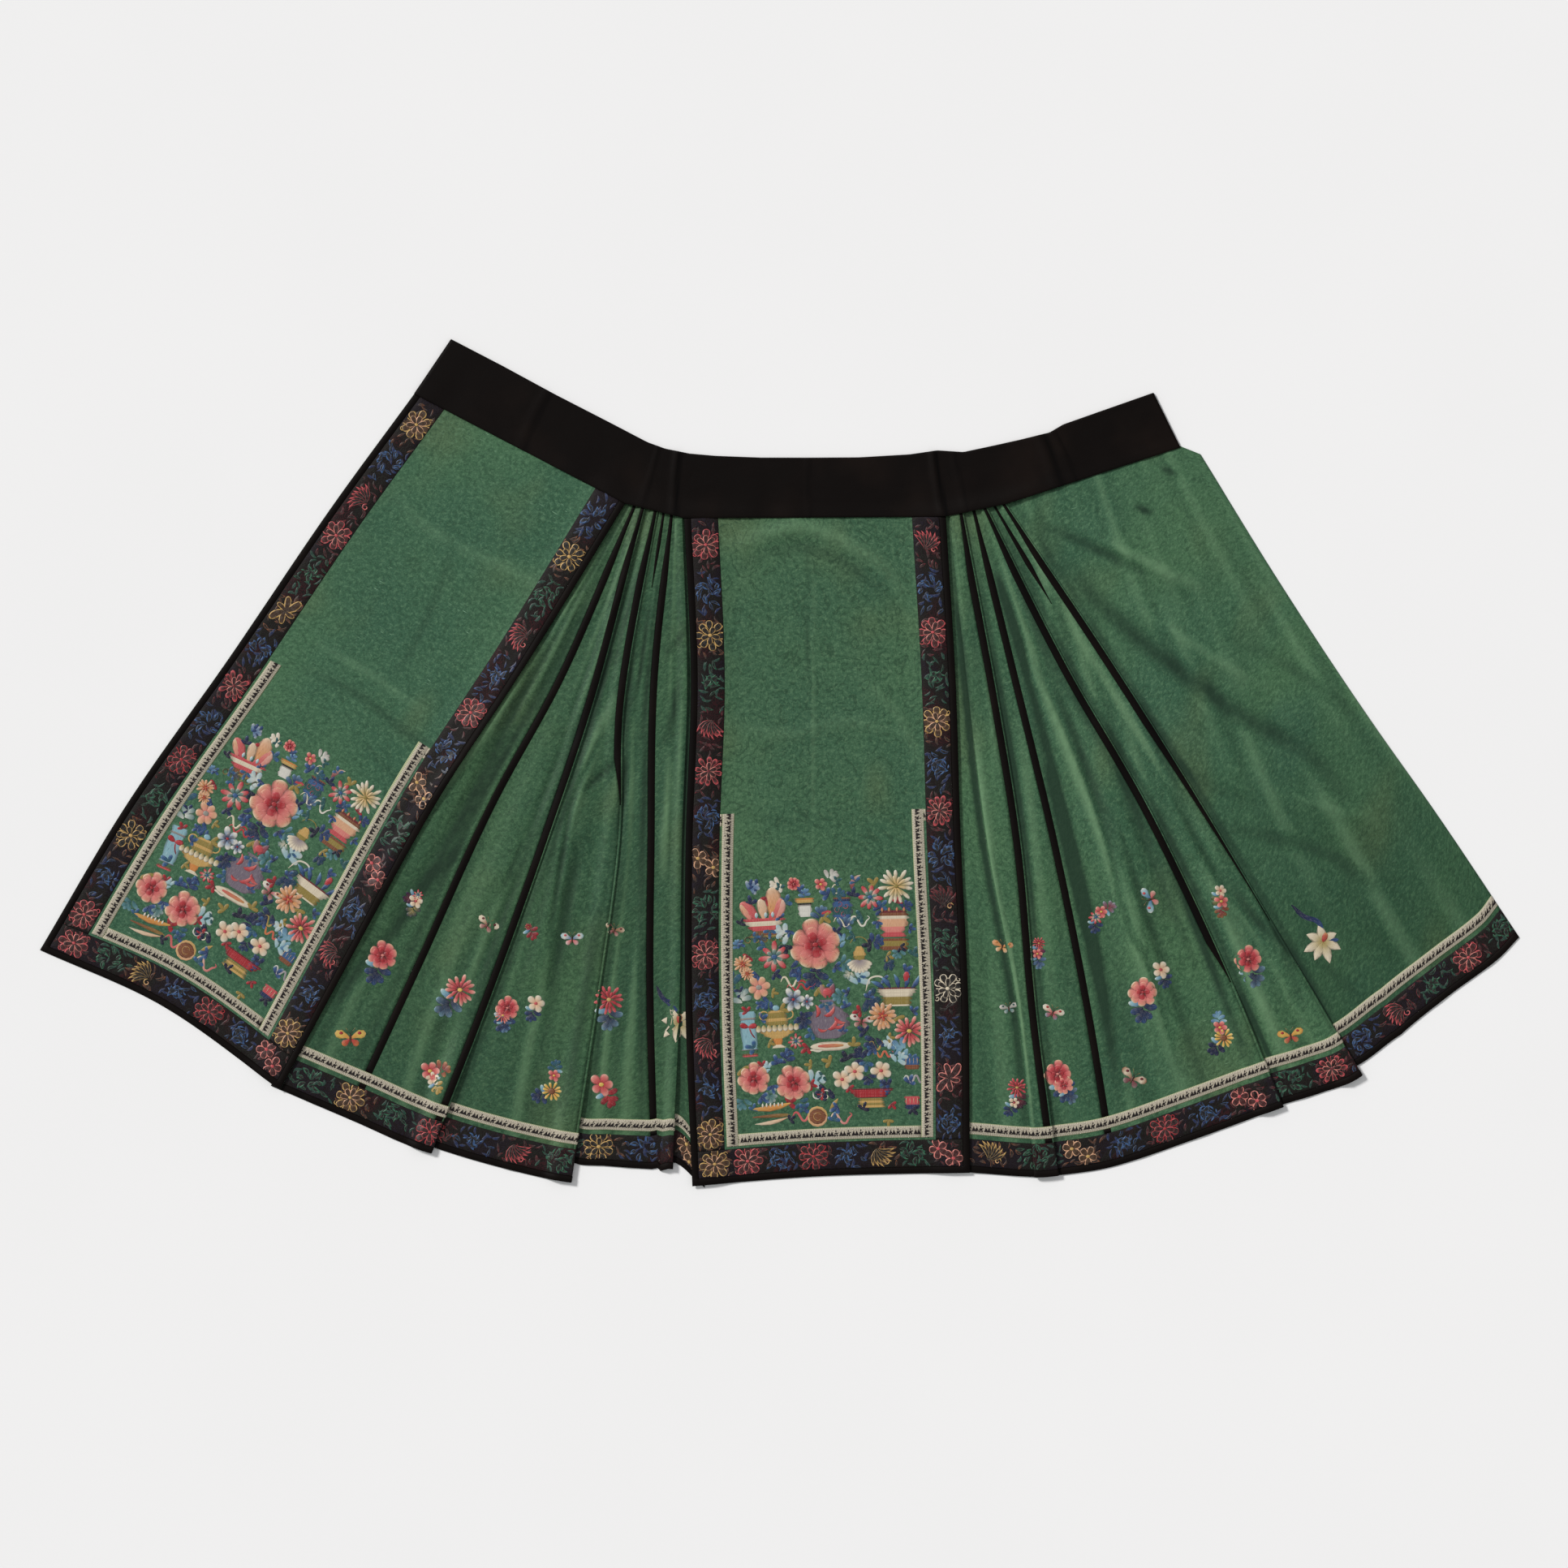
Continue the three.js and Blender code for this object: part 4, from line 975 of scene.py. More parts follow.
def ribbon_material():
    """Woven cream ribbon: a row of small dark figures between dotted edges, and a yellow-green selvedge."""
    m = Material("woven_ribbon_figures", 0.7, 0.2, 0.05, rgb(230, 225, 210))
    place = m.node("ShaderNodeUVMap", uv_map="flat").outputs[0]
    parts = m.node("ShaderNodeSeparateXYZ", {"Vector": place})
    run, across = parts.outputs[0], parts.outputs[1]
    a = m.math("SUBTRACT", m.math("FRACT", m.math("MULTIPLY", run, 1 / RIBBON_REPEAT)), 0.5)
    b = m.math("SUBTRACT", m.math("MULTIPLY", across, 1 / RIBBON / MM), 0.5)

    def spot(x, y, wide, high):
        """1 inside an oval at x along the repeat and y across it."""
        dx = m.math("DIVIDE", m.math("SUBTRACT", a, x), wide)
        dy = m.math("DIVIDE", m.math("SUBTRACT", b, y), high)
        return m.fade(m.math("ADD", m.math("MULTIPLY", dx, dx), m.math("MULTIPLY", dy, dy)), 1.25, 0.75)

    def wedge(x, wide):
        """1 inside a triangle that points across the ribbon."""
        side = m.math("ABSOLUTE", m.math("SUBTRACT", a, x))
        slope = m.math("MULTIPLY_ADD", b, 0.42, wide)
        inside = m.fade(m.math("SUBTRACT", side, slope), 0.02, -0.02)
        return m.math("MULTIPLY", inside, m.fade(b, 0.24, 0.2))

    figure = m.math("MAXIMUM", wedge(-0.31, 0.09), wedge(-0.06, 0.09))
    for oval in ((0.27, 0.02, 0.13, 0.1), (0.18, 0.17, 0.07, 0.08), (0.36, 0.17, 0.07, 0.08),
                 (0.27, -0.2, 0.05, 0.1), (0.42, -0.06, 0.05, 0.06)):
        figure = m.math("MAXIMUM", figure, spot(*oval))
    aside = m.math("ABSOLUTE", b)
    edge = m.fade(aside, 0.33, 0.37)
    dots = m.fade(m.math("PINGPONG", m.math("MULTIPLY", run, 1 / RIBBON_DOTS), 0.5), 0.2, 0.34)
    fleck = m.noise(m.flat(700, 700), 1.0, 2.0)
    colour = m.blend(m.fade(fleck, 0.38, 0.62), rgb(138, 130, 115), rgb(182, 174, 157))
    colour = m.blend(m.math("MULTIPLY", edge, 0.8), colour, rgb(194, 186, 168))
    colour = m.blend(m.math("MULTIPLY", m.math("MULTIPLY", edge, dots), 0.6), colour, rgb(112, 102, 88))
    colour = m.stain(colour, aside, 0.44, 0.46, 0.7, rgb(150, 160, 116))
    rough = m.fade(m.noise(m.flat(420, 420), 1.0, 1.0), 0.22, 0.36)
    colour = m.blend(m.math("MULTIPLY", figure, rough), colour, rgb(26, 21, 22))
    height = m.math("ADD", fleck, m.math("MULTIPLY", dots, 0.4))
    return m.finish(colour, height, 0.5, 0.0003)


# Damask for each cloth. The left fan's copy is tinted darker as painted shade and the right fan's lighter as
# painted light, for how light falls across the two fans
SILKS = {
    "left": damask_material("damask_left_panel", 1.0, 0.55, 0.0, rgb(250, 255, 246)),
    "centre": damask_material("damask_centre_panel", 0.3, 1.0, 0.0, rgb(252, 251, 238)),
    "left_fan": damask_material("damask_left_fan_painted_shade", 0.6, 0.75, 0.15, rgb(230, 234, 217)),
    "right_fan": damask_material("damask_right_fan_painted_light", 0.6, 0.75, 0.15, rgb(253, 255, 240)),
    "plain": damask_material("damask_plain_panel", 0.6, 0.55, 0.8, rgb(248, 252, 240)),
}
SATIN = satin_material("black_satin_binding", 0.3)
BAND_SATIN = satin_material("black_satin_band", 0.45)
BROCADE_WEAVE = brocade_material()
RIBBON_WEAVE = ribbon_material()

# What each CAD node got: its cloth's mesh
cloths = {}

# Rows that every sheet has at its binding and brocade
HEM_KEYS = [0, BEVEL, BINDING - BEVEL, BINDING, BINDING + BEVEL, PANEL_FIELD - BEVEL, PANEL_FIELD]


def add_ground(node, sheet, mask, silk):
    """The silk of one panel or gore."""
    part = shell(sheet, mask, -HALF_CLOTH, HALF_CLOTH, (sheet.u, sheet.v))
    piece = add_cloth(f"{node}_silk", part, SILKS[silk], node)
    cloths[node] = part


def add_trim(node, sheet, parts, outer, material, slot):
    """A strip sewn on a sheet. parts are masks with their flat coordinates."""
    shells = [shell(sheet, mask, TRIM_IN, outer, uv, EDGE_SHARE) for mask, uv in parts]
    cloths[node] = joined(shells)
    piece = add_cloth(f"{node}_{slot}", cloths[node], material, node)


def add_panel(side, names, longest, raised_left, raised_right, hooks):
    """A bordered panel: ground, binding, three brocade strips and a ribbon round its embroidered square."""
    keys = [*HEM_KEYS, PANEL_RIBBON_OUT, PANEL_RIBBON_OUT + BEVEL, PANEL_RIBBON_IN - BEVEL, PANEL_RIBBON_IN,
            SQUARE_TOP, SQUARE_TOP - RIBBON, SQUARE_TOP - BEVEL, longest]
    sheet = Sheet(names, keys, longest, panel_section(raised_left, raised_right))
    m = sheet.markers
    last, hem = sheet.u.shape[1] - 1, sheet.u.shape[0] - 1
    row = {name: sheet.row_at(d) for name, d in (
        ("field", BINDING), ("open", PANEL_FIELD), ("ribbon", PANEL_RIBBON_OUT),
        ("square", PANEL_RIBBON_IN), ("top", SQUARE_TOP), ("hook", SQUARE_TOP - RIBBON))}
    ground = f"{side}_ground"
    add_ground(ground, sheet, sheet.block(0, last, 0, hem), "left" if side == "panel_left" else "centre")
    from_left, from_right = sheet.u, sheet.u[:, last:] - sheet.u
    hem_width = float(sheet.u[hem, last])

    binding = (sheet.block(0, m["left:field"], 0, hem) | sheet.block(m["right:field"], last, 0, hem)
               | sheet.block(m["left:field"], m["right:field"], row["field"], hem))
    add_trim(f"{side}_binding", sheet, [(binding, (sheet.v, from_left))], BINDING_OUT, SATIN, "black_satin")

    upright = longest - PANEL_FIELD
    for name, block, uv, length in (
            ("left", (m["left:field"], m["left:open"], 0, row["open"]), (from_left, sheet.v), upright),
            ("bottom", (m["left:field"], m["right:field"], row["open"], row["field"]), (sheet.u, sheet.v),
             hem_width - 2 * BINDING),
            ("right", (m["right:open"], m["right:field"], 0, row["open"]), (from_right, sheet.v), upright)):
        add_trim(f"{side}_brocade_{name}", sheet, [(sheet.block(*block), uv)], BROCADE_OUT, BROCADE_WEAVE,
                 "brocade")

    out, inn = PANEL_RIBBON_OUT, PANEL_RIBBON_IN
    ribbon = [
        (sheet.block(m["left:ribbon"], m["left:square"], row["top"], row["ribbon"]),
         (sheet.v, from_left - out)),
        (sheet.block(m["left:square"], m["right:square"], row["square"], row["ribbon"]),
         (sheet.u, inn - sheet.v)),
        (sheet.block(m["right:square"], m["right:ribbon"], row["top"], row["ribbon"]),
         (sheet.v, from_right - out)),
    ]
    for hook in hooks:
        columns = sorted((m[f"{hook}:open"], m[f"{hook}:ribbon"]))
        ribbon.append((sheet.block(*columns, row["top"], row["hook"]), (sheet.u, SQUARE_TOP - sheet.v)))
    add_trim(f"{side}_ribbon", sheet, ribbon, RIBBON_OUT, RIBBON_WEAVE, "woven_ribbon")
    return sheet


def add_fan(side, sheet, stripes, grounds):
    """A fan of gores: the cloths between its seams, the stripes over them and three strips at the hem."""
    last, hem = sheet.u.shape[1] - 1, sheet.u.shape[0] - 1
    seams = [name for name in stripes if name not in CREASE_STRIPES]
    edges = [0, *(sheet.markers[f"{name}:start"] for name in seams), last]
    for node, left, right in zip(grounds, edges, edges[1:]):
        silk = "plain" if node == "panel_plain_ground" else f"{side}_fan"
        add_ground(node, sheet, sheet.block(left, right, 0, hem), silk)
    for k, name in enumerate(stripes):
        left, right = sheet.markers[f"{name}:start"], sheet.markers[f"{name}:end"]
        end = sheet.row_at(STRIPE_ENDS.get(name, FAN_RIBBON_IN))
        mask = sheet.block(left, right, 0, end)
        if name not in STRIPE_ENDS:
            mask |= sheet.block(left, right, sheet.row_at(FAN_RIBBON_OUT), sheet.row_at(PANEL_FIELD))
        uv = (sheet.v, sheet.u - sheet.u[:, left:left + 1])
        add_trim(f"stripe_{side}_{k + 1}", sheet, [(mask, uv)], STRIPE_OUT, SATIN, "black_satin")
    strips = [
        ("binding", 0, BINDING, BINDING_OUT, SATIN, "black_satin"),
        ("brocade", BINDING, PANEL_FIELD, BROCADE_OUT, BROCADE_WEAVE, "brocade"),
        ("ribbon", FAN_RIBBON_OUT, FAN_RIBBON_IN, RIBBON_OUT, RIBBON_WEAVE, "woven_ribbon"),
    ]
    for kind, low, high, outer, material, slot in strips:
        mask = sheet.block(0, last, sheet.row_at(high), sheet.row_at(low))
        add_trim(f"hem_{side}_{kind}", sheet, [(mask, (sheet.u, high - sheet.v))], outer, material, slot)


def add_waistband():
    """The satin waistband: a folded strip, flat beneath, with a lip over the heads of the pleats."""
    rows = np.array(BAND_ROWS, float)
    foot_x = np.linspace(rows[0, 0], rows[-1, 0], BAND_STATIONS)
    top_x, top_y, swell = (np.interp(foot_x, rows[:, 0], rows[:, k]) for k in (1, 2, 3))
    foot_y = np.interp(foot_x, *zip(*WAIST_CORNERS))
    foot = np.stack([foot_x, foot_y], axis=1)
    rise = np.stack([top_x, top_y], axis=1) - foot
    depth = np.linalg.norm(rise, axis=1)
    up = rise / depth[:, None]
    place = [np.full_like(depth, d) for d in BAND_LOW]
    place += [mix(7.5, depth - 3.5, k / BAND_STEPS) for k in range(BAND_STEPS + 1)]
    place += [depth - d for d in BAND_HIGH]
    place = np.stack(place, axis=1)

    # Folds with painted shade beside them, the swell over the pleat heads, small waves at the foot and the
    # sewn line
    fold, tone = np.zeros_like(place), np.zeros_like(place)
    share = np.clip(place / depth[:, None], 0, 1)
    for x, half, height, painted_shading in BAND_FOLDS:
        lean = (foot_x[:, None] - x) + 4 * np.sin(share * 2.4 + x) * (1 - share)
        fold += height * (1 - smooth(np.abs(lean) / half)) * (0.55 + 0.45 * share)
        tone += painted_shading * (1 - smooth(np.abs(lean - half * 0.7) / (half * 0.6)))
    body = BAND_THICKNESS + 0.4 + BAND_SWELL * swell[:, None] * (1 - smooth(place / BAND_SWELL_DEPTH))
    waves = 0.35 * np.sin(foot_x[:, None] / 13 + 2 * np.sin(foot_x[:, None] / 37)) * (1 - share)
    seam = -0.35 * np.exp(-((place - BAND_SEAM) / 1.2) ** 2)
    height = body + fold + waves + seam

    # Rounded edges, and the underside, which rises only below the lip
    edge = np.minimum(place + BAND_LIP, depth[:, None] - place)
    height -= 0.7 * (1 - smooth(edge / 1.8))
    height[:, -1] = np.minimum(height[:, -1], 1.6 + fold[:, -1] * 0.6)
    under = np.where(place <= 0, height - 0.8, 0.0)
    under[:, 0] = height[:, 0] - 0.4
    plan = foot[:, None, :] + up[:, None, :] * place[..., None]
    top = np.concatenate([plan, height[..., None]], axis=2)
    bottom = np.concatenate([plan, under[..., None]], axis=2)

    count, across = place.shape
    number = np.arange(count * across).reshape(count, across)
    total = number.size
    a, b, c, d = (corner.ravel() for corner in (
        number[:-1, :-1], number[1:, :-1], number[1:, 1:], number[:-1, 1:]))
    quads = [np.stack([a, b, c, d], axis=1) + total, np.stack([a, d, c, b], axis=1)]
    for start, end in ((number[:-1, 0], number[1:, 0]), (number[1:, -1], number[:-1, -1]),
                       (number[-1, :-1], number[-1, 1:]), (number[0, 1:], number[0, :-1])):
        quads.append(np.stack([start, end, end + total, start + total], axis=1))
    travel = np.concatenate([[0], np.cumsum(np.linalg.norm(np.diff(foot, axis=0), axis=1))])
    cloth = np.stack([place, travel[:, None] + 0 * place], axis=2).reshape(-1, 2)
    part = {"points": np.concatenate([bottom.reshape(-1, 3), top.reshape(-1, 3)]),
            "quads": np.concatenate(quads), "uv": np.concatenate([cloth, cloth]),
            "tone": np.concatenate([tone.ravel(), tone.ravel()])}
    piece = add_cloth("waistband_satin", part, BAND_SATIN, "waistband")


add_waistband()
left_panel = add_panel("panel_left", ["leftOuter", "leftMiddle", "leftInner"], LEFT_LENGTH, False, True,
                       ["right"])
centre_panel = add_panel("panel_centre", ["centreLeft", "centreMiddle", "centreRight"], CENTRE_LENGTH,
                         True, True, ["left", "right"])
FAN_KEYS = [*HEM_KEYS, FAN_RIBBON_OUT, FAN_RIBBON_OUT + BEVEL, FAN_RIBBON_IN - BEVEL, FAN_RIBBON_IN,
            THICK_HEM_END, THIN_FROM]
LEFT_GORES = [f"gore_left_{k}" for k in range(1, 6)]
RIGHT_GORES = [*(f"gore_right_{k}" for k in range(1, 5)), "panel_plain_ground"]
left_fan = Sheet(LEFT_FAN_LINES, [*FAN_KEYS, LEFT_FAN_LENGTH], LEFT_FAN_LENGTH, left_fan_section, 1.0)
add_fan("left", left_fan, [f"stripe{k}" for k in range(1, 6)], LEFT_GORES)
right_fan = Sheet(RIGHT_FAN_LINES, [*FAN_KEYS, RIGHT_FAN_LENGTH], RIGHT_FAN_LENGTH, right_fan_section, 0.7)
add_fan("right", right_fan, [f"stripe{k}" for k in range(8, 13)], RIGHT_GORES)


# Silk threads, as display colours
DYES = {
    "pink": (224, 132, 122), "rose": (202, 78, 84), "red": (172, 34, 44), "wine": (108, 22, 34),
    "cream": (228, 214, 188), "white": (224, 222, 212), "peach": (224, 172, 134), "orange": (212, 136, 66),
    "gold": (206, 166, 96), "olive": (150, 130, 62), "yellow": (226, 188, 88), "brown": (128, 74, 44),
    "navy": (20, 40, 84), "blue": (50, 90, 140), "sky": (140, 184, 196), "teal": (30, 84, 86),
    "leaf": (34, 98, 70), "pine": (18, 58, 48), "lilac": (118, 106, 120), "grey": (150, 146, 138),
    "black": (22, 15, 16), "ink": (11, 20, 48),
}

# How the stitches lie, in millimetres
SUNK = 0.12
LAYER = 0.16
STITCH_RISE = 0.45
THREAD_RISE = 0.35
RING_RISE = 0.4
VESSEL_RISE = 0.3
KNOT_RISE = 0.5
LOW_RISE = 0.25

# How dark the fill inside an outline and the seam round a petal are, and where an outline starts
OUTLINED_FILL = 0.36
SEAM_SHADE = 0.42
OUTLINE_FROM = 0.7

# Points across a strip, as shares of its half width
PLAIN_ACROSS = (-1, -0.6, 0, 0.6, 1)
OUTLINED_ACROSS = (-1, -0.72, -0.62, 0, 0.62, 0.72, 1)
THREAD_ACROSS = (-1, 0, 1)

# Points along a round knot and along the flat oval of a plinth
KNOT_ALONG = (-1, -0.8, -0.3, 0.3, 0.8, 1)
OVAL_ALONG = (-1, -0.85, -0.4, 0.4, 0.85, 1)

# Half width along a petal, from its foot to its tip
PROFILES = {
    "round": ((0, 0.3), (0.2, 0.7), (0.48, 1), (0.74, 0.96), (0.9, 0.7), (0.97, 0.42), (1, 0.1)),
    "leaf": ((0, 0.08), (0.2, 0.6), (0.45, 1), (0.7, 0.82), (0.88, 0.42), (1, 0.04)),
    "thin": ((0, 0.3), (0.35, 0.7), (0.7, 1), (0.92, 0.72), (1, 0.15)),
    "wing": ((0, 0.15), (0.3, 0.5), (0.65, 1), (0.9, 0.8), (1, 0.2)),
}

# Kinds of flower: colour and size of the heart, then rings of petals from the outside in. Each ring has its
# count, inner and outer reach, width and colours, and its outline and profile if they aren't plain and round
FLOWERS = {
    "peony": ("red", 0.12, (8, 0.4, 1.0, 0.74, "rose pink pink peach cream cream"),
              (6, 0.2, 0.76, 0.62, "wine rose pink pink peach cream"),
              (4, 0.06, 0.5, 0.5, "wine red rose peach")),
    "red_peony": ("pink", 0.12, (8, 0.4, 1.0, 0.72, "red rose pink peach cream"),
                  (6, 0.2, 0.74, 0.6, "wine red rose pink peach"), (4, 0.04, 0.46, 0.46, "wine red rose")),
    "aster": ("yellow", 0.16, (13, 0.26, 1.0, 0.3, "red pink cream", None, "thin"),
              (9, 0.1, 0.62, 0.26, "wine rose pink", None, "thin")),
    "red_aster": ("gold", 0.16, (13, 0.26, 1.0, 0.28, "wine rose pink", None, "thin"),
                  (8, 0.1, 0.6, 0.26, "red rose", None, "thin")),
    "cream_aster": ("olive", 0.14, (14, 0.2, 1.0, 0.26, "olive cream white", None, "thin"),
                    (9, 0.06, 0.6, 0.22, "gold cream", None, "thin")),
    "orange_aster": ("orange", 0.1, (13, 0.3, 1.0, 0.36, "orange peach cream"),
                     (9, 0.12, 0.68, 0.3, "brown peach cream"), (5, 0.0, 0.4, 0.26, "red orange")),
    "sun_aster": ("brown", 0.34, (11, 0.3, 1.0, 0.34, "orange yellow cream", None, "thin")),
    "plum": ("rose", 0.2, (5, 0.12, 1.0, 0.84, "peach cream white")),
    "pink_plum": ("yellow", 0.22, (5, 0.12, 1.0, 0.82, "red pink cream")),
    "peach_plum": ("grey", 0.28, (6, 0.14, 1.0, 0.72, "pink peach cream")),
    "white_plum": ("red", 0.14, (6, 0.12, 1.0, 0.62, "blue white white"),
                   (5, 0.05, 0.55, 0.44, "navy cream")),
    "half_red": ("blue", 0.2, (8, 0.2, 1.0, 0.4, "cream rose red"), (6, 0.1, 0.55, 0.34, "teal cream")),
    # Woven flowers of the brocade, with light outlines
    "gold_chrysanthemum": ("gold", 0.12, (8, 0.4, 1.0, 0.56, "orange brown", "gold"),
                           (6, 0.12, 0.66, 0.42, "brown orange", "peach")),
    "rose_peony": ("rose", 0.12, (8, 0.4, 1.0, 0.56, "red red", "rose"),
                   (6, 0.12, 0.68, 0.42, "wine red", "pink")),
    "wine_peony": ("red", 0.12, (8, 0.38, 1.0, 0.54, "wine wine", "red"),
                   (6, 0.1, 0.64, 0.42, "wine red", "rose")),
    "cream_scroll": ("cream", 0.14, (8, 0.42, 1.0, 0.54, "black black", "cream"),
                     (6, 0.14, 0.66, 0.4, "black brown", "cream")),
    "gold_scroll": ("gold", 0.14, (8, 0.42, 1.0, 0.54, "black black", "gold"),
                    (5, 0.12, 0.64, 0.42, "black brown", "gold")),
    "orange_plum": ("gold", 0.2, (5, 0.14, 1.0, 0.84, "orange brown", "peach")),
    "rose_plum": ("rose", 0.2, (5, 0.14, 1.0, 0.84, "red red", "pink")),
    "rose_chrysanthemum": ("wine", 0.12, (10, 0.3, 1.0, 0.36, "red red", "rose", "thin"),
                           (6, 0.08, 0.6, 0.36, "wine red", "pink")),
}


def polar(x, y, angle, reach):
    """The place at a distance from another one, in a direction in degrees."""
    turn = math.radians(angle)
    return x + reach * math.cos(turn), y + reach * math.sin(turn)


class Stitches:
    """Raised embroidery as strips with coloured threads, in a frame that can be moved, turned and scaled.

    Colours are names of dyes with spaces between them, from one end of a strip to the other.
    """

    def __init__(self):
        self.points, self.faces, self.dyes, self.flat = [], [], [], []
        self.count = 0
        self.move(0, 0)

    def move(self, x, y, turn=0.0, size=1.0):
        """Sets the frame: its origin, its turn in degrees and its size."""
        angle = math.radians(turn)
        self.origin = np.array([x, y])
        self.axes = np.array([[math.cos(angle), math.sin(angle)], [-math.sin(angle), math.cos(angle)]]) * size
        self.size = size

    def blade(self, spine, halves, colours, edge=None, rise=STITCH_RISE, layer=0, across=PLAIN_ACROSS):
        """A strip along a spine, with a half width and a colour at each of its stations."""
        spine, halves = np.array(spine, float), np.array(halves, float)
        step = np.gradient(spine, axis=0)
        side = np.stack([-step[:, 1], step[:, 0]], axis=1)
        side /= np.maximum(np.linalg.norm(side, axis=1, keepdims=True), 1e-9)
        s = np.array(across, float)
        reach = halves[:, None] * s
        plan = spine[:, None, :] + side[:, None, :] * reach[..., None]
        travel = np.linspace(0, 1, len(spine))[:, None]
        dome = np.sqrt(np.maximum(0, 1 - s ** 2)) * (0.55 + 0.45 * np.sin(np.pi * travel))
        height = np.where(np.abs(s) < 1, layer * LAYER + rise * dome, -SUNK)
        height[[0, -1]] = np.minimum(height[[0, -1]], layer * LAYER * 0.5)
        dyes = np.broadcast_to(self.shades(colours, travel)[:, None, :], (*plan.shape[:2], 3)).copy()
        if edge is not None:
            dyes *= OUTLINED_FILL
            dyes[:, np.abs(s) > OUTLINE_FROM] = np.array(DYES[edge], float)
            dyes[-2:] = np.array(DYES[edge], float)
        elif len(across) > len(THREAD_ACROSS):
            dyes[:, [0, -1]] *= SEAM_SHADE
        length = np.concatenate([[0], np.cumsum(np.linalg.norm(np.diff(spine, axis=0), axis=1))])
        flat = np.stack([reach, np.broadcast_to(length[:, None], reach.shape)], axis=2) * self.size
        rows, columns = plan.shape[:2]
        number = np.arange(rows * columns).reshape(rows, columns) + self.count
        quads = np.stack([number[:-1, :-1], number[:-1, 1:], number[1:, 1:], number[1:, :-1]], axis=2)
        placed = plan.reshape(-1, 2) @ self.axes + self.origin
        self.points.append(np.concatenate([placed, height.reshape(-1, 1)], axis=1))
        self.faces.append(quads.reshape(-1, 4))
        self.dyes.append(dyes.reshape(-1, 3))
        self.flat.append(flat.reshape(-1, 2))
        self.count += rows * columns

    def shades(self, colours, travel):
        """Colours at shares of the way along a strip."""
        stations = np.array([DYES[name] for name in colours.split()], float)
        at = travel[:, 0] * (len(stations) - 1)
        return np.stack([np.interp(at, np.arange(len(stations)), stations[:, k]) for k in range(3)], axis=1)

    def petal(self, x, y, angle, length, width, colours, edge=None, profile="round", bend=0.0, layer=0,
              rise=STITCH_RISE):
        """A petal or leaf that grows from a place in a direction, in degrees."""
        t, half = np.array(PROFILES[profile]).T
        turn = np.radians(angle + bend * (t - 0.5))
        reach = length * t
        spine = np.stack([x + reach * np.cos(turn), y + reach * np.sin(turn)], axis=1)
        across = PLAIN_ACROSS if edge is None else OUTLINED_ACROSS
        self.blade(spine, half * width / 2, colours, edge, rise, layer, across)

    def thread(self, points, width, colours, layer=0):
        """A line of stem or ribbon stitch that thins at its ends."""
        places, lengths = spline(points, 5 * (len(points) - 1))
        t = lengths / lengths[-1]
        halves = width / 2 * np.minimum(1, 0.3 + 3.5 * np.minimum(t, 1 - t))
        self.blade(places, halves, colours, None, THREAD_RISE, layer, THREAD_ACROSS)

    def ring(self, x, y, radius, width, colours, layer=0, start=0.0, sweep=360.0):
        """A circle of thread, or a part of one."""
        angles = np.radians(start + np.linspace(0, sweep, 13))
        spine = np.stack([x + radius * np.cos(angles), y + radius * np.sin(angles)], axis=1)
        self.blade(spine, np.full(len(angles), width / 2), colours, None, RING_RISE, layer, THREAD_ACROSS)

    def oval(self, x, y, wide, high, colours, stations, rise, layer):
        """A filled oval."""
        t = np.array(stations)
        spine = np.stack([x + wide * t, y + 0 * t], axis=1)
        self.blade(spine, high * np.sqrt(1.02 - t ** 2), colours, None, rise, layer)

    def knot(self, x, y, radius, colour, layer=0):
        """A round dot of knots."""
        self.oval(x, y, radius, radius, colour, KNOT_ALONG, KNOT_RISE, layer)

    def flower(self, kind, radius, turn=0.0, layer=0, x=0, y=0):
        """A flower of one of the kinds, from its outer petals in to its heart."""
        heart, size, *rings = FLOWERS[kind]
        for level, (count, start, end, width, colours, *style) in enumerate(rings):
            for k in range(count):
                angle = turn + 360 * (k + 0.5 * (level % 2)) / count + 7 * math.sin(5 * k + level)
                grow = 1 + 0.1 * math.sin(3.7 * k + 1.9 * level)
                self.petal(*polar(x, y, angle, start * radius), angle, (end - start) * radius * grow,
                           width * radius, colours, *style, layer=layer + level + 0.3 * (k % 2))
        self.knot(x, y, size * radius, heart, layer + len(rings))

    def leaves(self, x, y, angle, size, colours):
        """A spray of rounded leaves on a short stem."""
        for k in range(4):
            side = -1 if k % 2 else 1
            self.petal(*polar(x, y, angle, size * (0.1 + 0.13 * k)), angle + side * (72 - 14 * k),
                       size * (0.62 - 0.05 * k), size * 0.36, colours, bend=side * 22, layer=0.2 * k)
        self.petal(*polar(x, y, angle, size * 0.3), angle, size * 0.62, size * 0.36, colours, bend=18)

    def curl(self, x, y, angle, size, width, colours, layer=0):
        """A small scroll of thread."""
        points = [polar(x, y, angle + 62 * k, size * (1 - 0.13 * k)) for k in range(7)]
        self.thread(points, width, colours, layer)

    def wave(self, x, y, length, height, turns, width, colours, layer=1):
        """A fluttering ribbon with a curled end."""
        last = 6 * turns
        points = [(x + length * k / last, y + height / 2 * math.sin(2 * math.pi * turns * k / last))
                  for k in range(last + 1)]
        end = x + length
        points += [(end + 0.28 * height, y + 0.3 * height), (end + 0.08 * height, y + 0.5 * height)]
        self.thread(points, width, colours, layer)

    def vessel(self, stations, layer=1):
        """A pot, bowl or stand: stations of height, half width and colour."""
        for (low, half_low, colour), (high, half_high, _) in zip(stations, stations[1:]):
            t = np.linspace(0, 1, 3)
            spine = np.stack([0 * t, mix(low, high, t)], axis=1)
            self.blade(spine, mix(half_low, half_high, t), colour, None, VESSEL_RISE, layer)


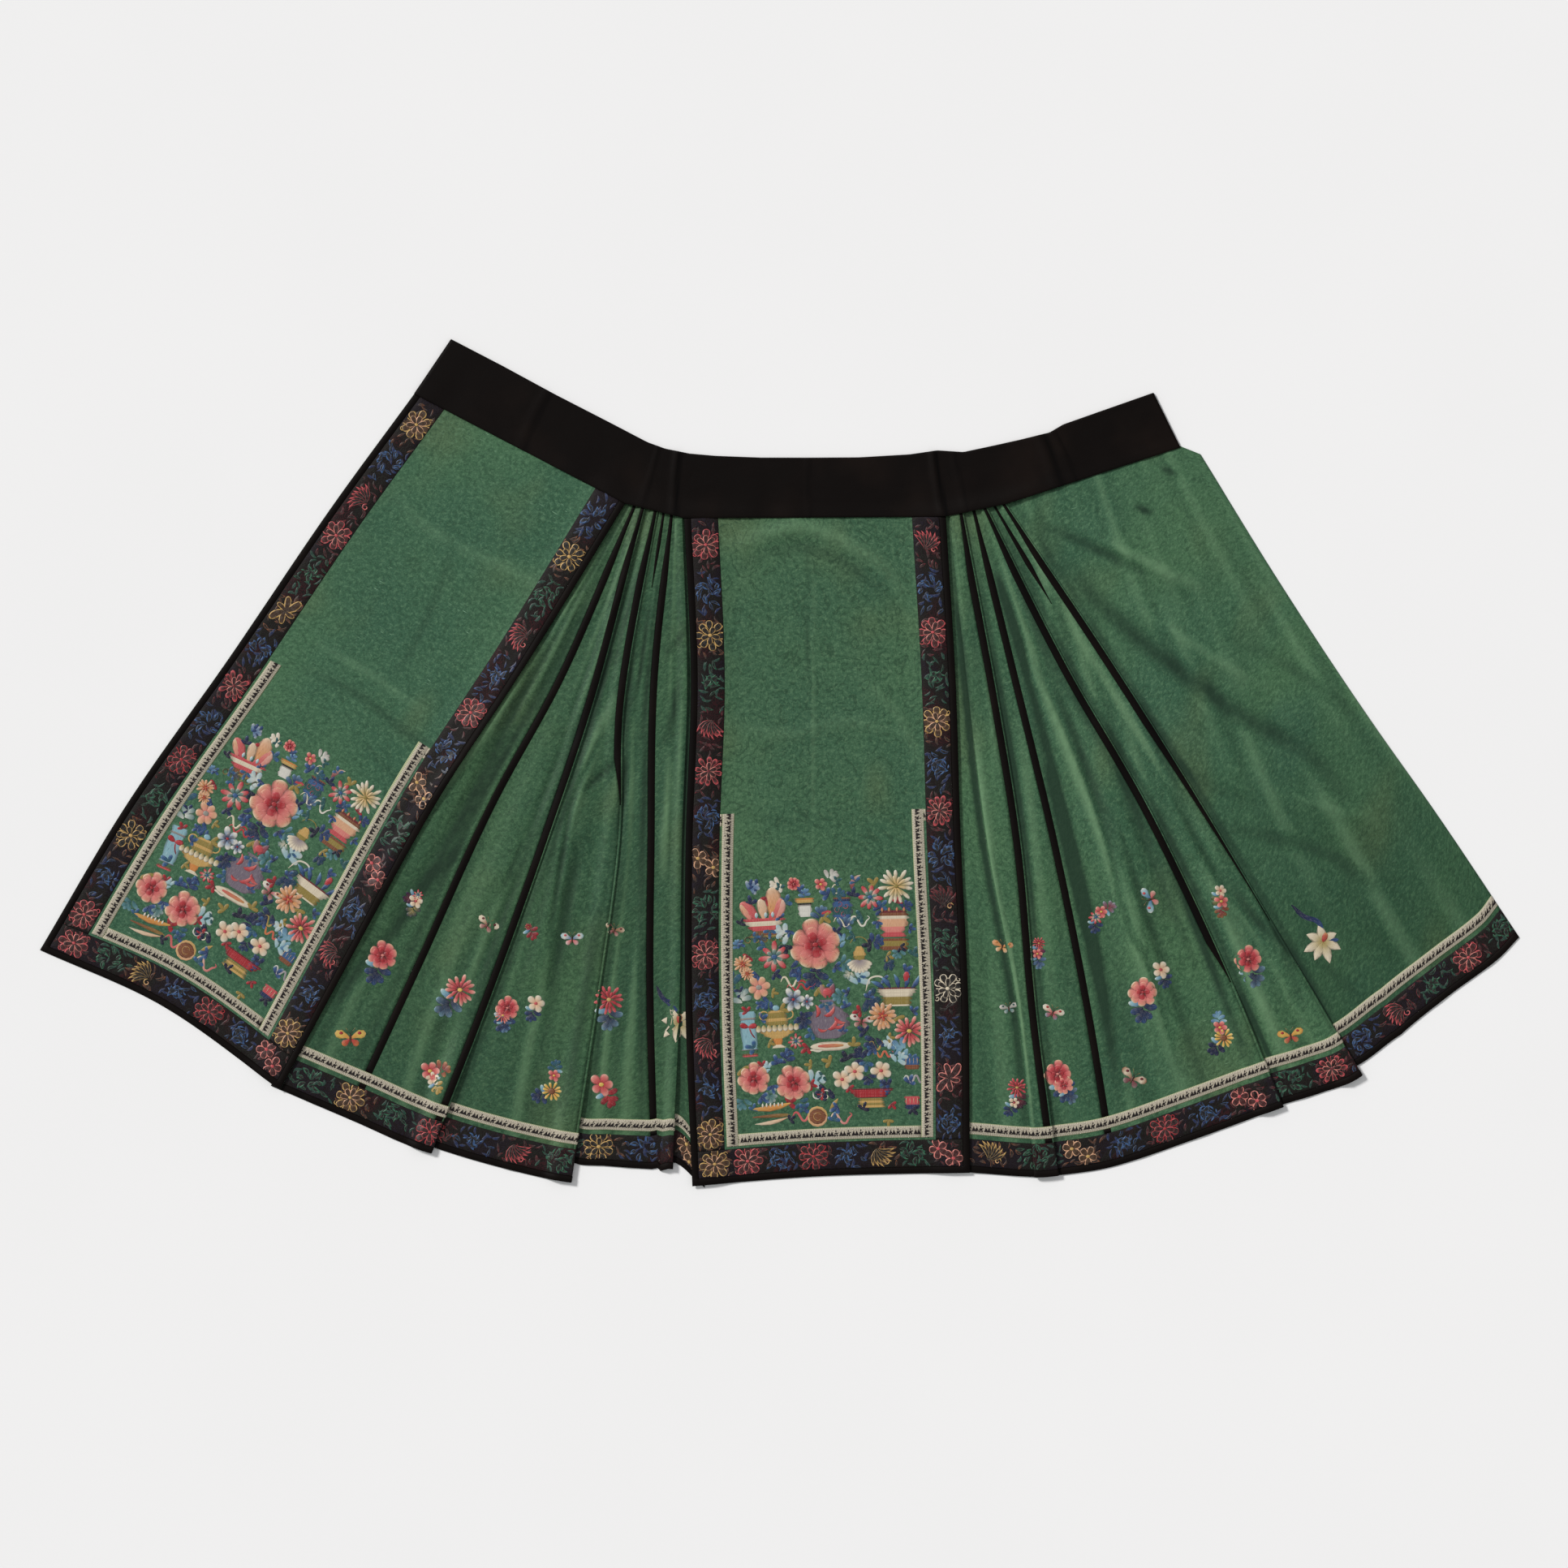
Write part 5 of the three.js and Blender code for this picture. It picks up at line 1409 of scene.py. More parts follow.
def butterfly(s, angle, size, upper, lower):
    """A butterfly with four wings, a body and two feelers."""
    for side in (-1, 1):
        s.petal(0, 0, angle + side * 62, size, size * 0.62, upper, profile="wing", bend=side * 18)
        s.petal(0, 0, angle + side * 128, size * 0.62, size * 0.46, lower, profile="wing", layer=1)
        feeler = [polar(0, 0, angle, size * 0.3), polar(0, 0, angle + side * 24, size * 0.75)]
        s.thread(feeler, 0.7, "black gold")
        s.knot(*polar(0, 0, angle + side * 58, size * 0.66), size * 0.12, lower.split()[0], 3)
    s.petal(*polar(0, 0, angle, -size * 0.32), angle, size * 0.66, size * 0.16, "brown black", profile="leaf",
            layer=4)


def magnolia(s, angle, size):
    """An open cream magnolia with a red heart and a blue leaf."""
    petals = ((150, 0.7), (-150, 0.75), (-98, 0.8), (92, 0.85), (-44, 0.95), (40, 1.0), (-4, 0.9))
    for k, (turn, length) in enumerate(petals):
        s.petal(0, 0, angle + turn, size * length, size * 0.46, "olive cream cream", profile="leaf",
                bend=-turn * 0.1, layer=0.4 * k)
    s.petal(0, 0, angle + 180, size * 0.42, size * 0.32, "red gold", layer=4)
    s.petal(0, 0, angle + 118, size * 0.7, size * 0.24, "navy blue", layer=-0.5)


def posy(s, kind, radius, turn, leaf_colours, leaf_angle, size):
    """A flower with a spray of leaves under it."""
    foot = polar(0, 0, leaf_angle, radius * 0.7)
    s.leaves(*foot, leaf_angle, size, leaf_colours)
    s.petal(*foot, leaf_angle - 78, size * 0.62, size * 0.3, "blue sky white", bend=-20, layer=0.5)
    s.flower(kind, radius, turn, 1)


def fruit_bowl(s):
    s.vessel([(-29, 20, "olive"), (-26, 24, "brown"), (-22, 14, "brown"), (-20, 17, "rose")])
    for k in range(5):
        s.ring(-22 + 11 * k, -31, 3.6, 1.8, "black olive", 1)
    s.vessel([(-20, 19, "rose"), (-14, 24, "cream"), (-8, 30, "rose"), (-4, 33, "rose")])
    for x, angle, length, colours in (
            (-17, 112, 24, "pink peach cream"), (-8, 128, 30, "rose pink"), (8, 52, 30, "rose pink peach"),
            (17, 66, 25, "pink cream"), (0, 92, 26, "peach cream"), (12, 84, 40, "orange peach cream")):
        s.petal(x, -5, angle, length, length * 0.55, colours, bend=12, layer=2)
    for x in (-9, 3, 12):
        s.petal(x, -4, 90, 8, 6, "sky white", profile="leaf", layer=4)


def pot(s):
    s.vessel([(-10, 8, "white"), (-4, 10, "white"), (4, 10, "grey"), (5.5, 10, "black"), (7.5, 11, "white")])
    s.vessel([(8, 13, "gold"), (12, 14, "orange"), (14, 14, "orange")])
    s.leaves(0, 14, 80, 14, "blue sky")


def blue_jar(s):
    s.vessel([(-14, 9, "blue"), (-8, 15, "teal"), (2, 16, "blue"), (9, 12, "navy"), (12, 13, "brown"),
              (14, 13, "brown")])
    for x, y in ((-6, -2), (5, 3), (2, -8), (-3, 6)):
        s.curl(x, y, 40 * x, 4, 1.2, "rose lilac", 4)
    s.petal(-14, -4, 190, 13, 8, "rose red")
    s.curl(-6, 24, 60, 8, 2.0, "cream white")
    s.petal(16, 22, 100, 22, 8, "wine cream", profile="leaf", bend=-70)


def pink_pot(s):
    s.vessel([(-13, 14, "pink"), (-6, 20, "peach"), (4, 23, "cream"), (8, 23, "cream")])
    s.vessel([(8, 22, "brown"), (12, 21, "wine"), (15, 16, "brown")])
    s.vessel([(-19, 18, "rose"), (-15, 18, "rose"), (-13, 13, "pink")])
    s.vessel([(-36, 19, "brown"), (-31, 21, "olive"), (-24, 22, "brown"), (-21, 20, "olive")])
    for x in (-14, -5, 5, 14):
        s.petal(x, 13, 90, 6, 4, "gold rose", profile="leaf", layer=3)
    s.leaves(-14, 14, 140, 15, "navy blue")
    s.leaves(12, 16, 40, 16, "navy blue")


def basket(s):
    s.vessel([(-4, 5, "olive"), (4, 10, "gold"), (10, 8, "gold"), (16, 4, "gold")])
    for k in range(9):
        s.petal(0, -2, 200 + 140 * k / 8, 17, 8, "lilac cream white", layer=2)
    s.ring(0, 16, 12, 1.4, "olive", 1, 20, 140)
    s.leaves(14, 20, 10, 20, "navy blue")
    s.leaves(-16, 22, 150, 16, "sky blue")
    s.leaves(-10, -16, 220, 14, "cream teal")


def boat_bowl(s):
    s.vessel([(-12, 18, "cream"), (-10, 20, "olive"), (-4, 21, "olive"), (0, 22, "olive")])
    s.vessel([(0, 20, "cream"), (4, 25, "cream"), (8, 28, "cream"), (10, 28, "wine"), (12, 26, "wine")], 2)
    for x, angle in ((-16, 140), (-8, 118), (2, 96), (10, 70), (18, 48)):
        s.petal(x, 10, angle, 20, 7, "navy blue sky", profile="leaf", bend=20, layer=3)
    s.thread([(-10, 12), (-20, 26), (-34, 24), (-40, 8)], 2.6, "white cream", 3)
    s.petal(12, 18, 86, 14, 9, "red rose", layer=4)


def book(s):
    s.vessel([(-24, 11.5, "sky"), (-22, 11.5, "sky"), (14, 11.5, "sky"), (15, 11.5, "grey"), (17, 12, "sky"),
              (25, 12, "sky")])
    for y in (14.5, -24):
        s.thread([(-11, y), (0, y + 0.4), (11, y)], 1.6, "grey lilac", 3)
    s.petal(0, 5, 160, 11, 8, "red red", layer=4)
    s.petal(0, 5, 10, 11, 8, "red rose", layer=4)
    s.thread([(1, 4), (4, -4), (8, -10)], 3.2, "red wine", 4)
    s.vessel([(-33, 11, "rose"), (-31, 12, "brown"), (-29, 11, "rose")])


def burner(s):
    s.vessel([(-26, 12, "cream"), (-22, 5, "orange"), (-14, 8, "gold"), (-9, 22, "gold"), (-3, 26, "gold")])
    for k in range(8):
        s.petal(-24 + 6.9 * k, 4, 270, 9, 8, "olive cream white", layer=3)
    s.vessel([(3, 15, "olive"), (8, 17, "gold"), (12, 15, "olive"), (19, 14, "gold"), (22, 9, "olive")], 2)
    s.ring(-16, 16, 5.5, 2, "gold", 2, 40, 250)
    s.ring(16, 16, 5.5, 2, "gold", 2, -110, 250)
    s.knot(0, 25, 4.5, "sky", 3)


def cloud_vase(s):
    s.vessel([(-22, 12, "lilac"), (-18, 22, "lilac"), (-8, 30, "lilac"), (4, 31, "lilac"), (14, 24, "lilac"),
              (20, 12, "grey"), (24, 9, "lilac"), (28, 13, "lilac")])
    for x, y, angle, length in ((-16, 6, 60, 16), (-6, 8, 10, 18), (8, 6, -60, 16), (-2, -10, 20, 18),
                                (6, -6, -20, 14), (-14, -8, -40, 12)):
        s.petal(x, y, angle, length, length * 0.42, "red pink", profile="leaf", bend=60, layer=4)
    s.petal(-2, 30, 110, 20, 10, "rose grey", profile="leaf", layer=2)
    s.petal(2, 30, 70, 20, 10, "red lilac", profile="leaf", layer=2)
    s.knot(0, 38, 6, "rose", 4)


def plinth(s):
    s.oval(0, 0, 26, 7, "cream", OVAL_ALONG, 0.4, 1)
    s.oval(0, 0.6, 18, 3.6, "rose gold", OVAL_ALONG, 0.3, 3)


def red_dish(s):
    s.vessel([(-5, 20, "red"), (-2, 24, "red"), (3, 29, "red"), (5, 31, "wine"), (6.5, 31, "wine")], 4)
    s.vessel([(-18, 20, "gold"), (-15, 20, "olive"), (-12, 19, "gold"), (-9, 18, "olive"), (-6, 18, "olive")])


def gold_boat(s):
    s.petal(-27, 2, -2, 56, 9, "gold orange yellow", profile="leaf", bend=14, layer=2)
    for k in range(6):
        s.petal(-10 + 5 * k, 2, 90, 6, 3.4, "cream white", profile="leaf", layer=4)
    s.petal(-24, -9, 0, 48, 6, "brown olive", profile="thin", layer=1)
    s.petal(-22, -18, 2, 44, 6, "cream peach", profile="leaf", bend=12, layer=1)


def disc(s):
    s.knot(0, 0, 12, "brown", 1)
    s.ring(0, 0, 11.5, 4, "gold peach", 3)
    s.ring(0, 0, 5, 2, "gold", 3)
    s.curl(12, 26, 30, 8, 2.4, "white cream", 1)
    s.curl(2, 28, 150, 7, 2.4, "white grey", 1)
    s.wave(-32, 1, 20, 12, 1, 3.4, "rose pink")
    s.wave(16, -4, 24, 14, 1, 3.4, "cream rose")
    s.petal(16, 8, 50, 18, 6, "olive gold", profile="leaf")


def cup(s, colour, foot):
    s.vessel([(-9, 9, foot), (-6, 12, foot), (-3, 11, colour), (4, 11, colour), (8, 12, colour)])
    for k in range(4):
        s.thread([(-8 + 5 * k, -2), (-8 + 5 * k, 7)], 1.1, "cream peach", 3)


# What is embroidered in the square, as traditional "antiques and flowers": across and up the panel, then
# for flowers radius and turn, for leaves turn and size, for ribbons length, height and turns
SQUARE = [
    (fruit_bowl, -82, 352), (pot, -26, 357), (blue_jar, 24, 356), (pink_pot, 92, 336), (basket, 45, 288),
    (boat_bowl, 93, 236), (book, -104, 200), (burner, -66, 202), (cloud_vase, 2, 206), (plinth, 4, 173),
    (red_dish, 56, 108), (gold_boat, -78, 94), (disc, -16, 80),
]
SQUARE_FLOWERS = [
    ("red_peony", -41, 391, 8, 30), ("cream_aster", 98, 384, 21, 10), ("half_red", 62, 370, 15, 40),
    ("peony", -13, 309, 30, 15), ("half_red", -68, 296, 18, 0), ("orange_aster", -110, 289, 11, 20),
    ("peach_plum", -89, 257, 14, 10), ("orange_aster", -104, 276, 8, 50), ("white_plum", -44, 238, 14, 0),
    ("white_plum", -26, 234, 9, 30), ("half_red", -42, 182, 9, 0), ("orange_aster", 73, 211, 17, 0),
    ("aster", 108, 190, 18, 15), ("peony", -99, 136, 19, 0), ("peony", -47, 127, 21, 25),
    ("plum", 18, 128, 12, 0), ("plum", 35, 138, 12, 20), ("plum", 70, 138, 12, 40),
    ("pink_plum", -4, 389, 8, 0),
]
SQUARE_LEAVES = [
    (-104, 386, 20, 14, "blue white"), (-88, 388, 150, 13, "navy blue"),
    (-56, 392, 185, 14, "cream white"), (-46, 324, 160, 18, "white sky"), (-8, 342, 70, 16, "navy sky"),
    (22, 330, 40, 15, "navy sky"), (-12, 276, 250, 22, "ink blue"), (18, 284, -20, 15, "teal sky"),
    (-48, 282, -40, 15, "navy blue"), (-118, 258, 120, 20, "teal blue"), (-112, 236, 80, 18, "white teal"),
    (-72, 238, 200, 14, "blue navy"), (-34, 220, -80, 18, "ink blue"), (-116, 310, 100, 10, "blue sky"),
    (40, 252, 60, 20, "sky white"), (48, 238, -40, 22, "navy teal"), (26, 242, 200, 16, "teal sky"),
    (66, 184, 230, 18, "ink blue"), (90, 178, 200, 14, "white sky"), (-82, 118, -60, 14, "teal white"),
    (-112, 112, 240, 15, "teal sky"), (-56, 152, 80, 16, "navy blue"), (-76, 146, 130, 11, "sky white"),
    (-26, 128, 10, 18, "sky white"), (-40, 104, -70, 14, "teal blue"), (2, 118, 215, 18, "ink navy"),
    (53, 135, 265, 13, "ink blue"), (48, 150, 120, 18, "navy ink"), (88, 148, 40, 16, "sky white"),
    (66, 118, -30, 14, "blue navy"), (108, 166, 170, 20, "sky blue"), (100, 300, 240, 12, "teal sky"),
    (12, 372, 20, 14, "teal blue"), (4, 396, 30, 14, "white grey"), (76, 284, -30, 14, "navy teal"),
    (-92, 320, 10, 12, "navy olive"),
]
SQUARE_WAVES = [
    (12, 338, 44, 14, 2, "cream white"), (-60, 262, 20, 14, 1, "cream cream"),
    (-52, 254, 30, 8, 2, "rose red"), (-38, 258, 24, 9, 1, "red rose"),
    (-26, 168, 18, 2, 1, "cream white"), (60, 160, 24, 8, 2, "orange rose"),
    (54, 172, 16, 12, 1, "olive gold"), (100, 126, 26, 10, 2, "white lilac"),
]

# Half width of the square, and the small leaves between its figures: tries, where, room and colours
SQUARE_HALF = 123
SMALL_LEAF_TRIES = 900
SMALL_LEAF_ACROSS = 116
SMALL_LEAF_UP = (72, 396)
SMALL_LEAF_ROOM = 19
FIGURE_ROOM = 21
SMALL_LEAVES = [
    "ink navy blue", "ink blue sky", "teal blue sky", "navy blue white", "ink ink navy", "teal teal sky",
    "olive olive gold", "wine red rose",
]


def small_leaves(s, spot):
    """Small leaves in the gaps between the figures of the square."""
    chance = random.Random(7)
    taken = [(across, up, FIGURE_ROOM) for _, across, up in SQUARE]
    taken += [(across, up, 0.9 * radius + 3) for _, across, up, radius, _ in SQUARE_FLOWERS]
    for _ in range(SMALL_LEAF_TRIES):
        across = chance.uniform(-SMALL_LEAF_ACROSS, SMALL_LEAF_ACROSS)
        up = chance.uniform(*SMALL_LEAF_UP)
        turn, colours = chance.uniform(0, 360), chance.choice(SMALL_LEAVES)
        if any(math.hypot(across - x, up - y) < reach for x, y, reach in taken):
            continue
        taken.append((across, up, SMALL_LEAF_ROOM))
        spot(across, up)
        length = chance.uniform(8, 12)
        for side in (-62, 0, 58):
            s.petal(0, 0, turn + side, length * (0.9 if side else 1.2), length * 0.6, colours,
                    bend=0.4 * side, layer=0.5)


def panel_square(s, spot):
    """All of a panel's embroidered square. spot moves the stitches to a place in the panel."""
    small_leaves(s, spot)
    for across, up, turn, size, colours in SQUARE_LEAVES:
        spot(across, up, LEAVES_DRAWN)
        s.leaves(0, 0, turn, size, colours)
    for draw, across, up in SQUARE:
        spot(across, up, FIGURES_DRAWN)
        draw(s)
    for kind, across, up, radius, turn in SQUARE_FLOWERS:
        spot(across, up, FLOWERS_DRAWN)
        s.flower(kind, radius, turn, 2)
    for across, up, length, height, turns, colours in SQUARE_WAVES:
        spot(across, up)
        s.wave(0, 0, length, height, turns, WAVE_WIDTH, colours)
    spot(45, 204)
    butterfly(s, 80, 17, "red white cream", "wine cream")
    spot(111, 148)
    cup(s, "blue", "brown")
    spot(111, 95)
    cup(s, "rose", "navy")


# Sprigs scattered over the fans: x and y in plan, kind, radius, turn, leaf colours and leaf angle
FAN_SPRIGS = {
    "left": [
        (-484, -184, "plum", 8, 0, "olive navy", 250), (-481, -176, "half_red", 6, 0, "wine navy", 200),
        (-528, -256, "red_peony", 16, 10, "ink blue", 250), (-425, -302, "aster", 17, 20, "ink sky", 230),
        (-465, -410, "pink_plum", 11, 0, "wine gold", 10), (-462, -420, "plum", 8, 20, "olive gold", 300),
        (-334, -218, "red_aster", 4, 0, "wine red", 300),
        (-362, -326, "red_peony", 13, 0, "ink blue", 255), (-368, -336, "aster", 9, 30, "navy sky", 280),
        (-324, -320, "plum", 10, 0, "ink blue", 250), (-227, -315, "red_aster", 16, 0, "ink sky", 270),
        (-303, -437, "sun_aster", 11, 0, "ink blue", 200),
        (-300, -416, "pink_plum", 7, 0, "teal blue", 80),
        (-237, -428, "pink_plum", 13, 0, "red wine", 300),
    ],
    "right": [
        (343, -254, "pink_plum", 6, 0, "navy sky", 280), (345, -240, "red_aster", 7, 10, "red navy", 260),
        (316, -432, "red_aster", 11, 0, "wine ink", 280), (312, -452, "plum", 6, 0, "ink blue", 240),
        (370, -414, "red_peony", 15, 0, "ink blue", 290), (378, -428, "peony", 11, 20, "ink sky", 300),
        (421, -205, "half_red", 8, 0, "ink blue", 265), (428, -198, "pink_plum", 7, 0, "wine sky", 30),
        (483, -305, "peony", 16, 0, "ink blue", 270), (507, -275, "plum", 10, 0, "ink blue", 290),
        (586, -170, "plum", 7, 0, "olive pine", 250), (587, -184, "pink_plum", 8, 20, "wine olive", 270),
        (623, -261, "red_peony", 15, 0, "ink sky", 290), (591, -366, "sun_aster", 11, 0, "ink navy", 230),
        (586, -352, "pink_plum", 8, 0, "sky blue", 100),
    ],
}
# Butterflies over the fans: x and y in plan, angle, size, and colours of the upper and lower wings
FAN_BUTTERFLIES = {
    "left": [
        (-571, -367, 90, 19, "orange yellow gold", "red orange"),
        (-389, -216, 60, 14, "brown cream cream", "wine cream"),
        (-276, -235, 90, 14, "blue white sky", "rose white"),
        (-220, -223, 70, 12, "brown cream", "wine cream"),
    ],
    "right": [
        (296, -245, 80, 13, "orange peach", "orange cream"),
        (305, -327, 100, 11, "grey white", "teal white"),
        (363, -333, 70, 14, "rose cream white", "red sky"),
        (494, -181, 200, 16, "blue sky white", "rose cream"),
        (469, -421, 60, 17, "brown cream brown", "wine grey"),
        (680, -364, 100, 16, "orange yellow orange", "red gold"),
    ],
}

# The magnolia in each fan: x and y in plan, angle, size and the points of its stem
FAN_MAGNOLIAS = {
    "left": (-134, -346, 265, 29, [(2, 4), (-8, 22), (-22, 34), (-30, 50)]),
    "right": (723, -238, 250, 30, [(0, 4), (-6, 26), (-26, 34), (-43, 50)]),
}

# Figures along each brocade strip, from the waist or from the left
BORDERS = {
    "panel_left_brocade_left":
        "gold_chrysanthemum blue red_spray rose_peony green gold_moth blue rose_chrysanthemum blue "
        "wine_peony green gold_scroll blue rose_peony",
    "panel_left_brocade_right":
        "blue gold_scroll green red_spray blue rose_peony blue orange_plum green rose_plum blue red_spray "
        "blue gold_chrysanthemum",
    "panel_left_brocade_bottom":
        "rose_peony green gold_fan blue wine_peony blue rose_plum",
    "panel_centre_brocade_left":
        "rose_peony blue gold_scroll green red_spray rose_chrysanthemum blue orange_plum green rose_peony "
        "blue red_spray blue gold_chrysanthemum",
    "panel_centre_brocade_right":
        "red_spray blue rose_peony green gold_chrysanthemum blue rose_chrysanthemum blue wine_fan green "
        "cream_scroll blue rose_moth blue",
    "panel_centre_brocade_bottom":
        "gold_chrysanthemum rose_peony blue wine_peony blue gold_fan green rose_plum",
    "hem_left_brocade":
        "green gold_chrysanthemum green wine_peony blue red_spray green gold_scroll blue orange_plum",
    "hem_right_brocade":
        "gold_fan green orange_plum blue wine_peony blue rose_plum green rose_chrysanthemum blue "
        "red_spray green rose_peony green",
}

# The brocade's figures that aren't flowers: colours of fill and outline, and of the scroll beside a spray
BORDER_LEAVES = {"blue": ("ink navy", "blue"), "green": ("black pine", "leaf")}
SPRAYS = {
    "red_spray": ("black wine", "rose", "rose pink"), "gold_fan": ("black brown", "gold", "gold peach"),
    "wine_fan": ("black wine", "wine", "gold peach"),
}
MOTHS = {"gold_moth": ("brown orange", "gold"), "rose_moth": ("wine red", "pink")}

# Leaves woven all over the brocade: how far apart, which colours go round which figure, fill and outline
CARPET_STEP = 9.5
CARPET_OUTLINED = 0.28
CARPET = {
    "blue": "blue", "green": "green", "gold_scroll": "gold", "gold_chrysanthemum": "gold",
    "orange_plum": "gold", "gold_fan": "gold", "gold_moth": "gold", "cream_scroll": "black",
}
CARPET_DYES = {
    "blue": ("ink navy navy", "blue"), "green": ("pine pine leaf", "leaf"), "wine": ("black wine", "wine"),
    "gold": ("black brown", "brown"), "black": ("black black", None),
}


def spray(s, angle, size, colours, light):
    """Eight long curved leaves or feathers from one foot."""
    for k in range(8):
        s.petal(*polar(0, 0, angle, -size * 0.4), angle + 100 * (k / 7 - 0.5), size * (1.25 - 0.1 * (k % 2)),
                size * 0.24, colours, light, "leaf", bend=34, layer=k % 2)


def border_leaves(s, colours, light, turn):
    """Leaves that fill a brocade strip between two flowers."""
    for x, y, angle, size in ((-8, 8, 130, 13), (7, 9, 50, 13), (-6, -8, 215, 14), (9, -7, -35, 13),
                              (0, 1, 80, 15), (-15, -2, 170, 9), (15, 2, 5, 9)):
        s.petal(x * 0.6, y * 0.6, angle + turn, size, 7, colours, light, "leaf", bend=36, rise=LOW_RISE)
        s.petal(x * 0.9, y * 0.9, angle + turn + 34, size * 0.6, 2.6, light, profile="leaf", bend=-30,
                layer=1, rise=LOW_RISE)


def border_figure(s, kind, turn):
    """One figure of a brocade strip in the stitches' frame."""
    if kind in BORDER_LEAVES:
        border_leaves(s, *BORDER_LEAVES[kind], turn)
    elif kind in SPRAYS:
        colours, light, scroll = SPRAYS[kind]
        spray(s, 60 + turn, 21, colours, light)
        s.curl(9, -9, turn, 5, 1.6, scroll, 1)
    elif kind in MOTHS:
        for angle, size in ((25, 24), (75, 20), (200, 23), (250, 18), (130, 15), (320, 15)):
            s.petal(0, 0, angle + 20, size, size * 0.5, *MOTHS[kind], bend=20)
    elif kind.endswith("plum"):
        s.flower(kind, 13, turn, x=-10, y=6)
        s.flower(kind, 13, turn + 30, x=10, y=-7)
    else:
        heart = FLOWERS[kind][0]
        s.flower(kind, 20, turn)
        s.curl(15, 12, turn, 3.6, 1.3, heart)
        s.curl(-14, -13, turn + 90, 3.6, 1.3, heart)


def spot_on(sheet, share, offset, distance):
    """Place in plan and angle of the row, in degrees, at an offset from a share of a sheet's width."""
    rows = make_rows(sheet.curves, [distance], sheet.longest)
    place = share * float(rows["places"][0, -1]) + offset
    k = sheet.row_at(distance)
    front = sheet.place[k] >= np.maximum.accumulate(sheet.place[k])
    tuck = float(np.interp(place, sheet.place[k][front], sheet.tuck[k][front]))
    at = np.array([[place]], float)
    up = row_up(rows, at)[0, 0]
    x, y = row_point(rows, at)[0, 0] + up * tuck
    return x, y, math.degrees(math.atan2(-up[0], up[1]))


def silk_material():
    """Satin stitch in dyed silk, with fine parallel threads."""
    m = Material("embroidery_silk_threads", 0.42, 0.3, 0.15, rgb(235, 225, 220))
    dye = m.attribute("dye", "Color")
    thread = m.noise(m.flat(2600, 160), 1.0, 1.0)
    colour = m.blend(m.math("MULTIPLY", m.fade(thread, 0.5, 0.25), 0.4), dye, rgb(60, 50, 50), "MULTIPLY")
    colour = m.stain(colour, thread, 0.5, 0.75, 0.14, rgb(250, 240, 225))
    return m.finish(colour, thread, 0.5, 0.0003)


STITCH_SILK = silk_material()
DYE_STRENGTH = {"embroidery_silk": 0.88, "brocade": 0.9}
STITCH_ENDINGS = {"embroidery_silk": "embroidery", "brocade": "figures"}


def add_stitches(name, points, faces, dyes, flat, slot):
    """One piece of embroidery from the faces that lie on one cloth."""
    used = np.unique(faces)
    number = np.full(len(points), -1)
    number[used] = np.arange(len(used))
    shades = linear(dyes[used] * DYE_STRENGTH[slot] / 255)
    colours = np.concatenate([shades, np.ones((len(used), 1))], axis=1)
    return add_piece(name, points[used], number[faces], flat[used], STITCH_SILK,
                     ("dye", "FLOAT_COLOR", "color", colours))


def lay_stitches(stitches, grounds, slot):
    """Lays embroidery on the cloths under it and drops what falls beside them or over a fold's edge."""
    points = np.concatenate(stitches.points)
    faces = np.concatenate(stitches.faces)
    cloth = joined([cloths[node] for node in grounds])
    owners = np.repeat(np.arange(len(grounds)), [len(cloths[node]["quads"]) for node in grounds])
    tree = BVHTree.FromPolygons([Vector(p) for p in cloth["points"]], cloth["quads"].tolist())
    down = Vector((0, 0, -1))
    level = np.full(len(points), np.nan)
    under = np.full(len(points), -1)
    for k, (x, y, _) in enumerate(points):
        hit, _, quad, _ = tree.ray_cast(Vector((x, y, ABOVE_ALL)), down)
        if hit is not None:
            level[k] = hit.z
            under[k] = owners[quad]
    around = level[faces]
    keep = ~np.isnan(around).any(axis=1) & (np.ptp(np.nan_to_num(around), axis=1) < STEEPEST)
    faces = faces[keep]
    points[:, 2] += np.nan_to_num(level)
    dyes, flat = np.concatenate(stitches.dyes), np.concatenate(stitches.flat)
    for k, node in enumerate(grounds):
        own = faces[under[faces[:, 0]] == k]
        if len(own):
            name = f"{node}_{STITCH_ENDINGS[slot]}"
            add_stitches(name, points, own, dyes, flat, slot)


def embroider_square(side, sheet):
    """The embroidered square of one panel, narrowed to fit between its ribbons."""
    s = Stitches()

    def spot(across, up, size=1.0):
        rows = make_rows(sheet.curves, [up], sheet.longest)
        narrow = (float(rows["places"][0, -1]) / 2 - PANEL_RIBBON_IN) / SQUARE_HALF
        x, y, angle = spot_on(sheet, 0.5, across * narrow, up)
        s.move(x, y, angle, size * min(1, narrow + 0.04))

    panel_square(s, spot)
    lay_stitches(s, [f"{side}_ground"], "embroidery_silk")


def embroider_fan(side, grounds):
    """The sprigs, butterflies and magnolia of one fan."""
    s = Stitches()
    for x, y, kind, radius, turn, leaf_colours, leaf_angle in FAN_SPRIGS[side]:
        s.move(x, y)
        leaf_size = max(radius * FAN_LEAVES, LEAST_FAN_LEAVES)
        posy(s, kind, radius * FAN_FLOWERS_DRAWN, turn, leaf_colours, leaf_angle, leaf_size)
    for x, y, angle, size, upper, lower in FAN_BUTTERFLIES[side]:
        s.move(x, y)
        butterfly(s, angle, FAN_BUTTERFLIES_DRAWN * size, upper, lower)
    x, y, angle, size, stem = FAN_MAGNOLIAS[side]
    s.move(x, y)
    magnolia(s, angle, size)
    s.thread(stem, 8, "blue navy ink")
    lay_stitches(s, grounds, "embroidery_silk")


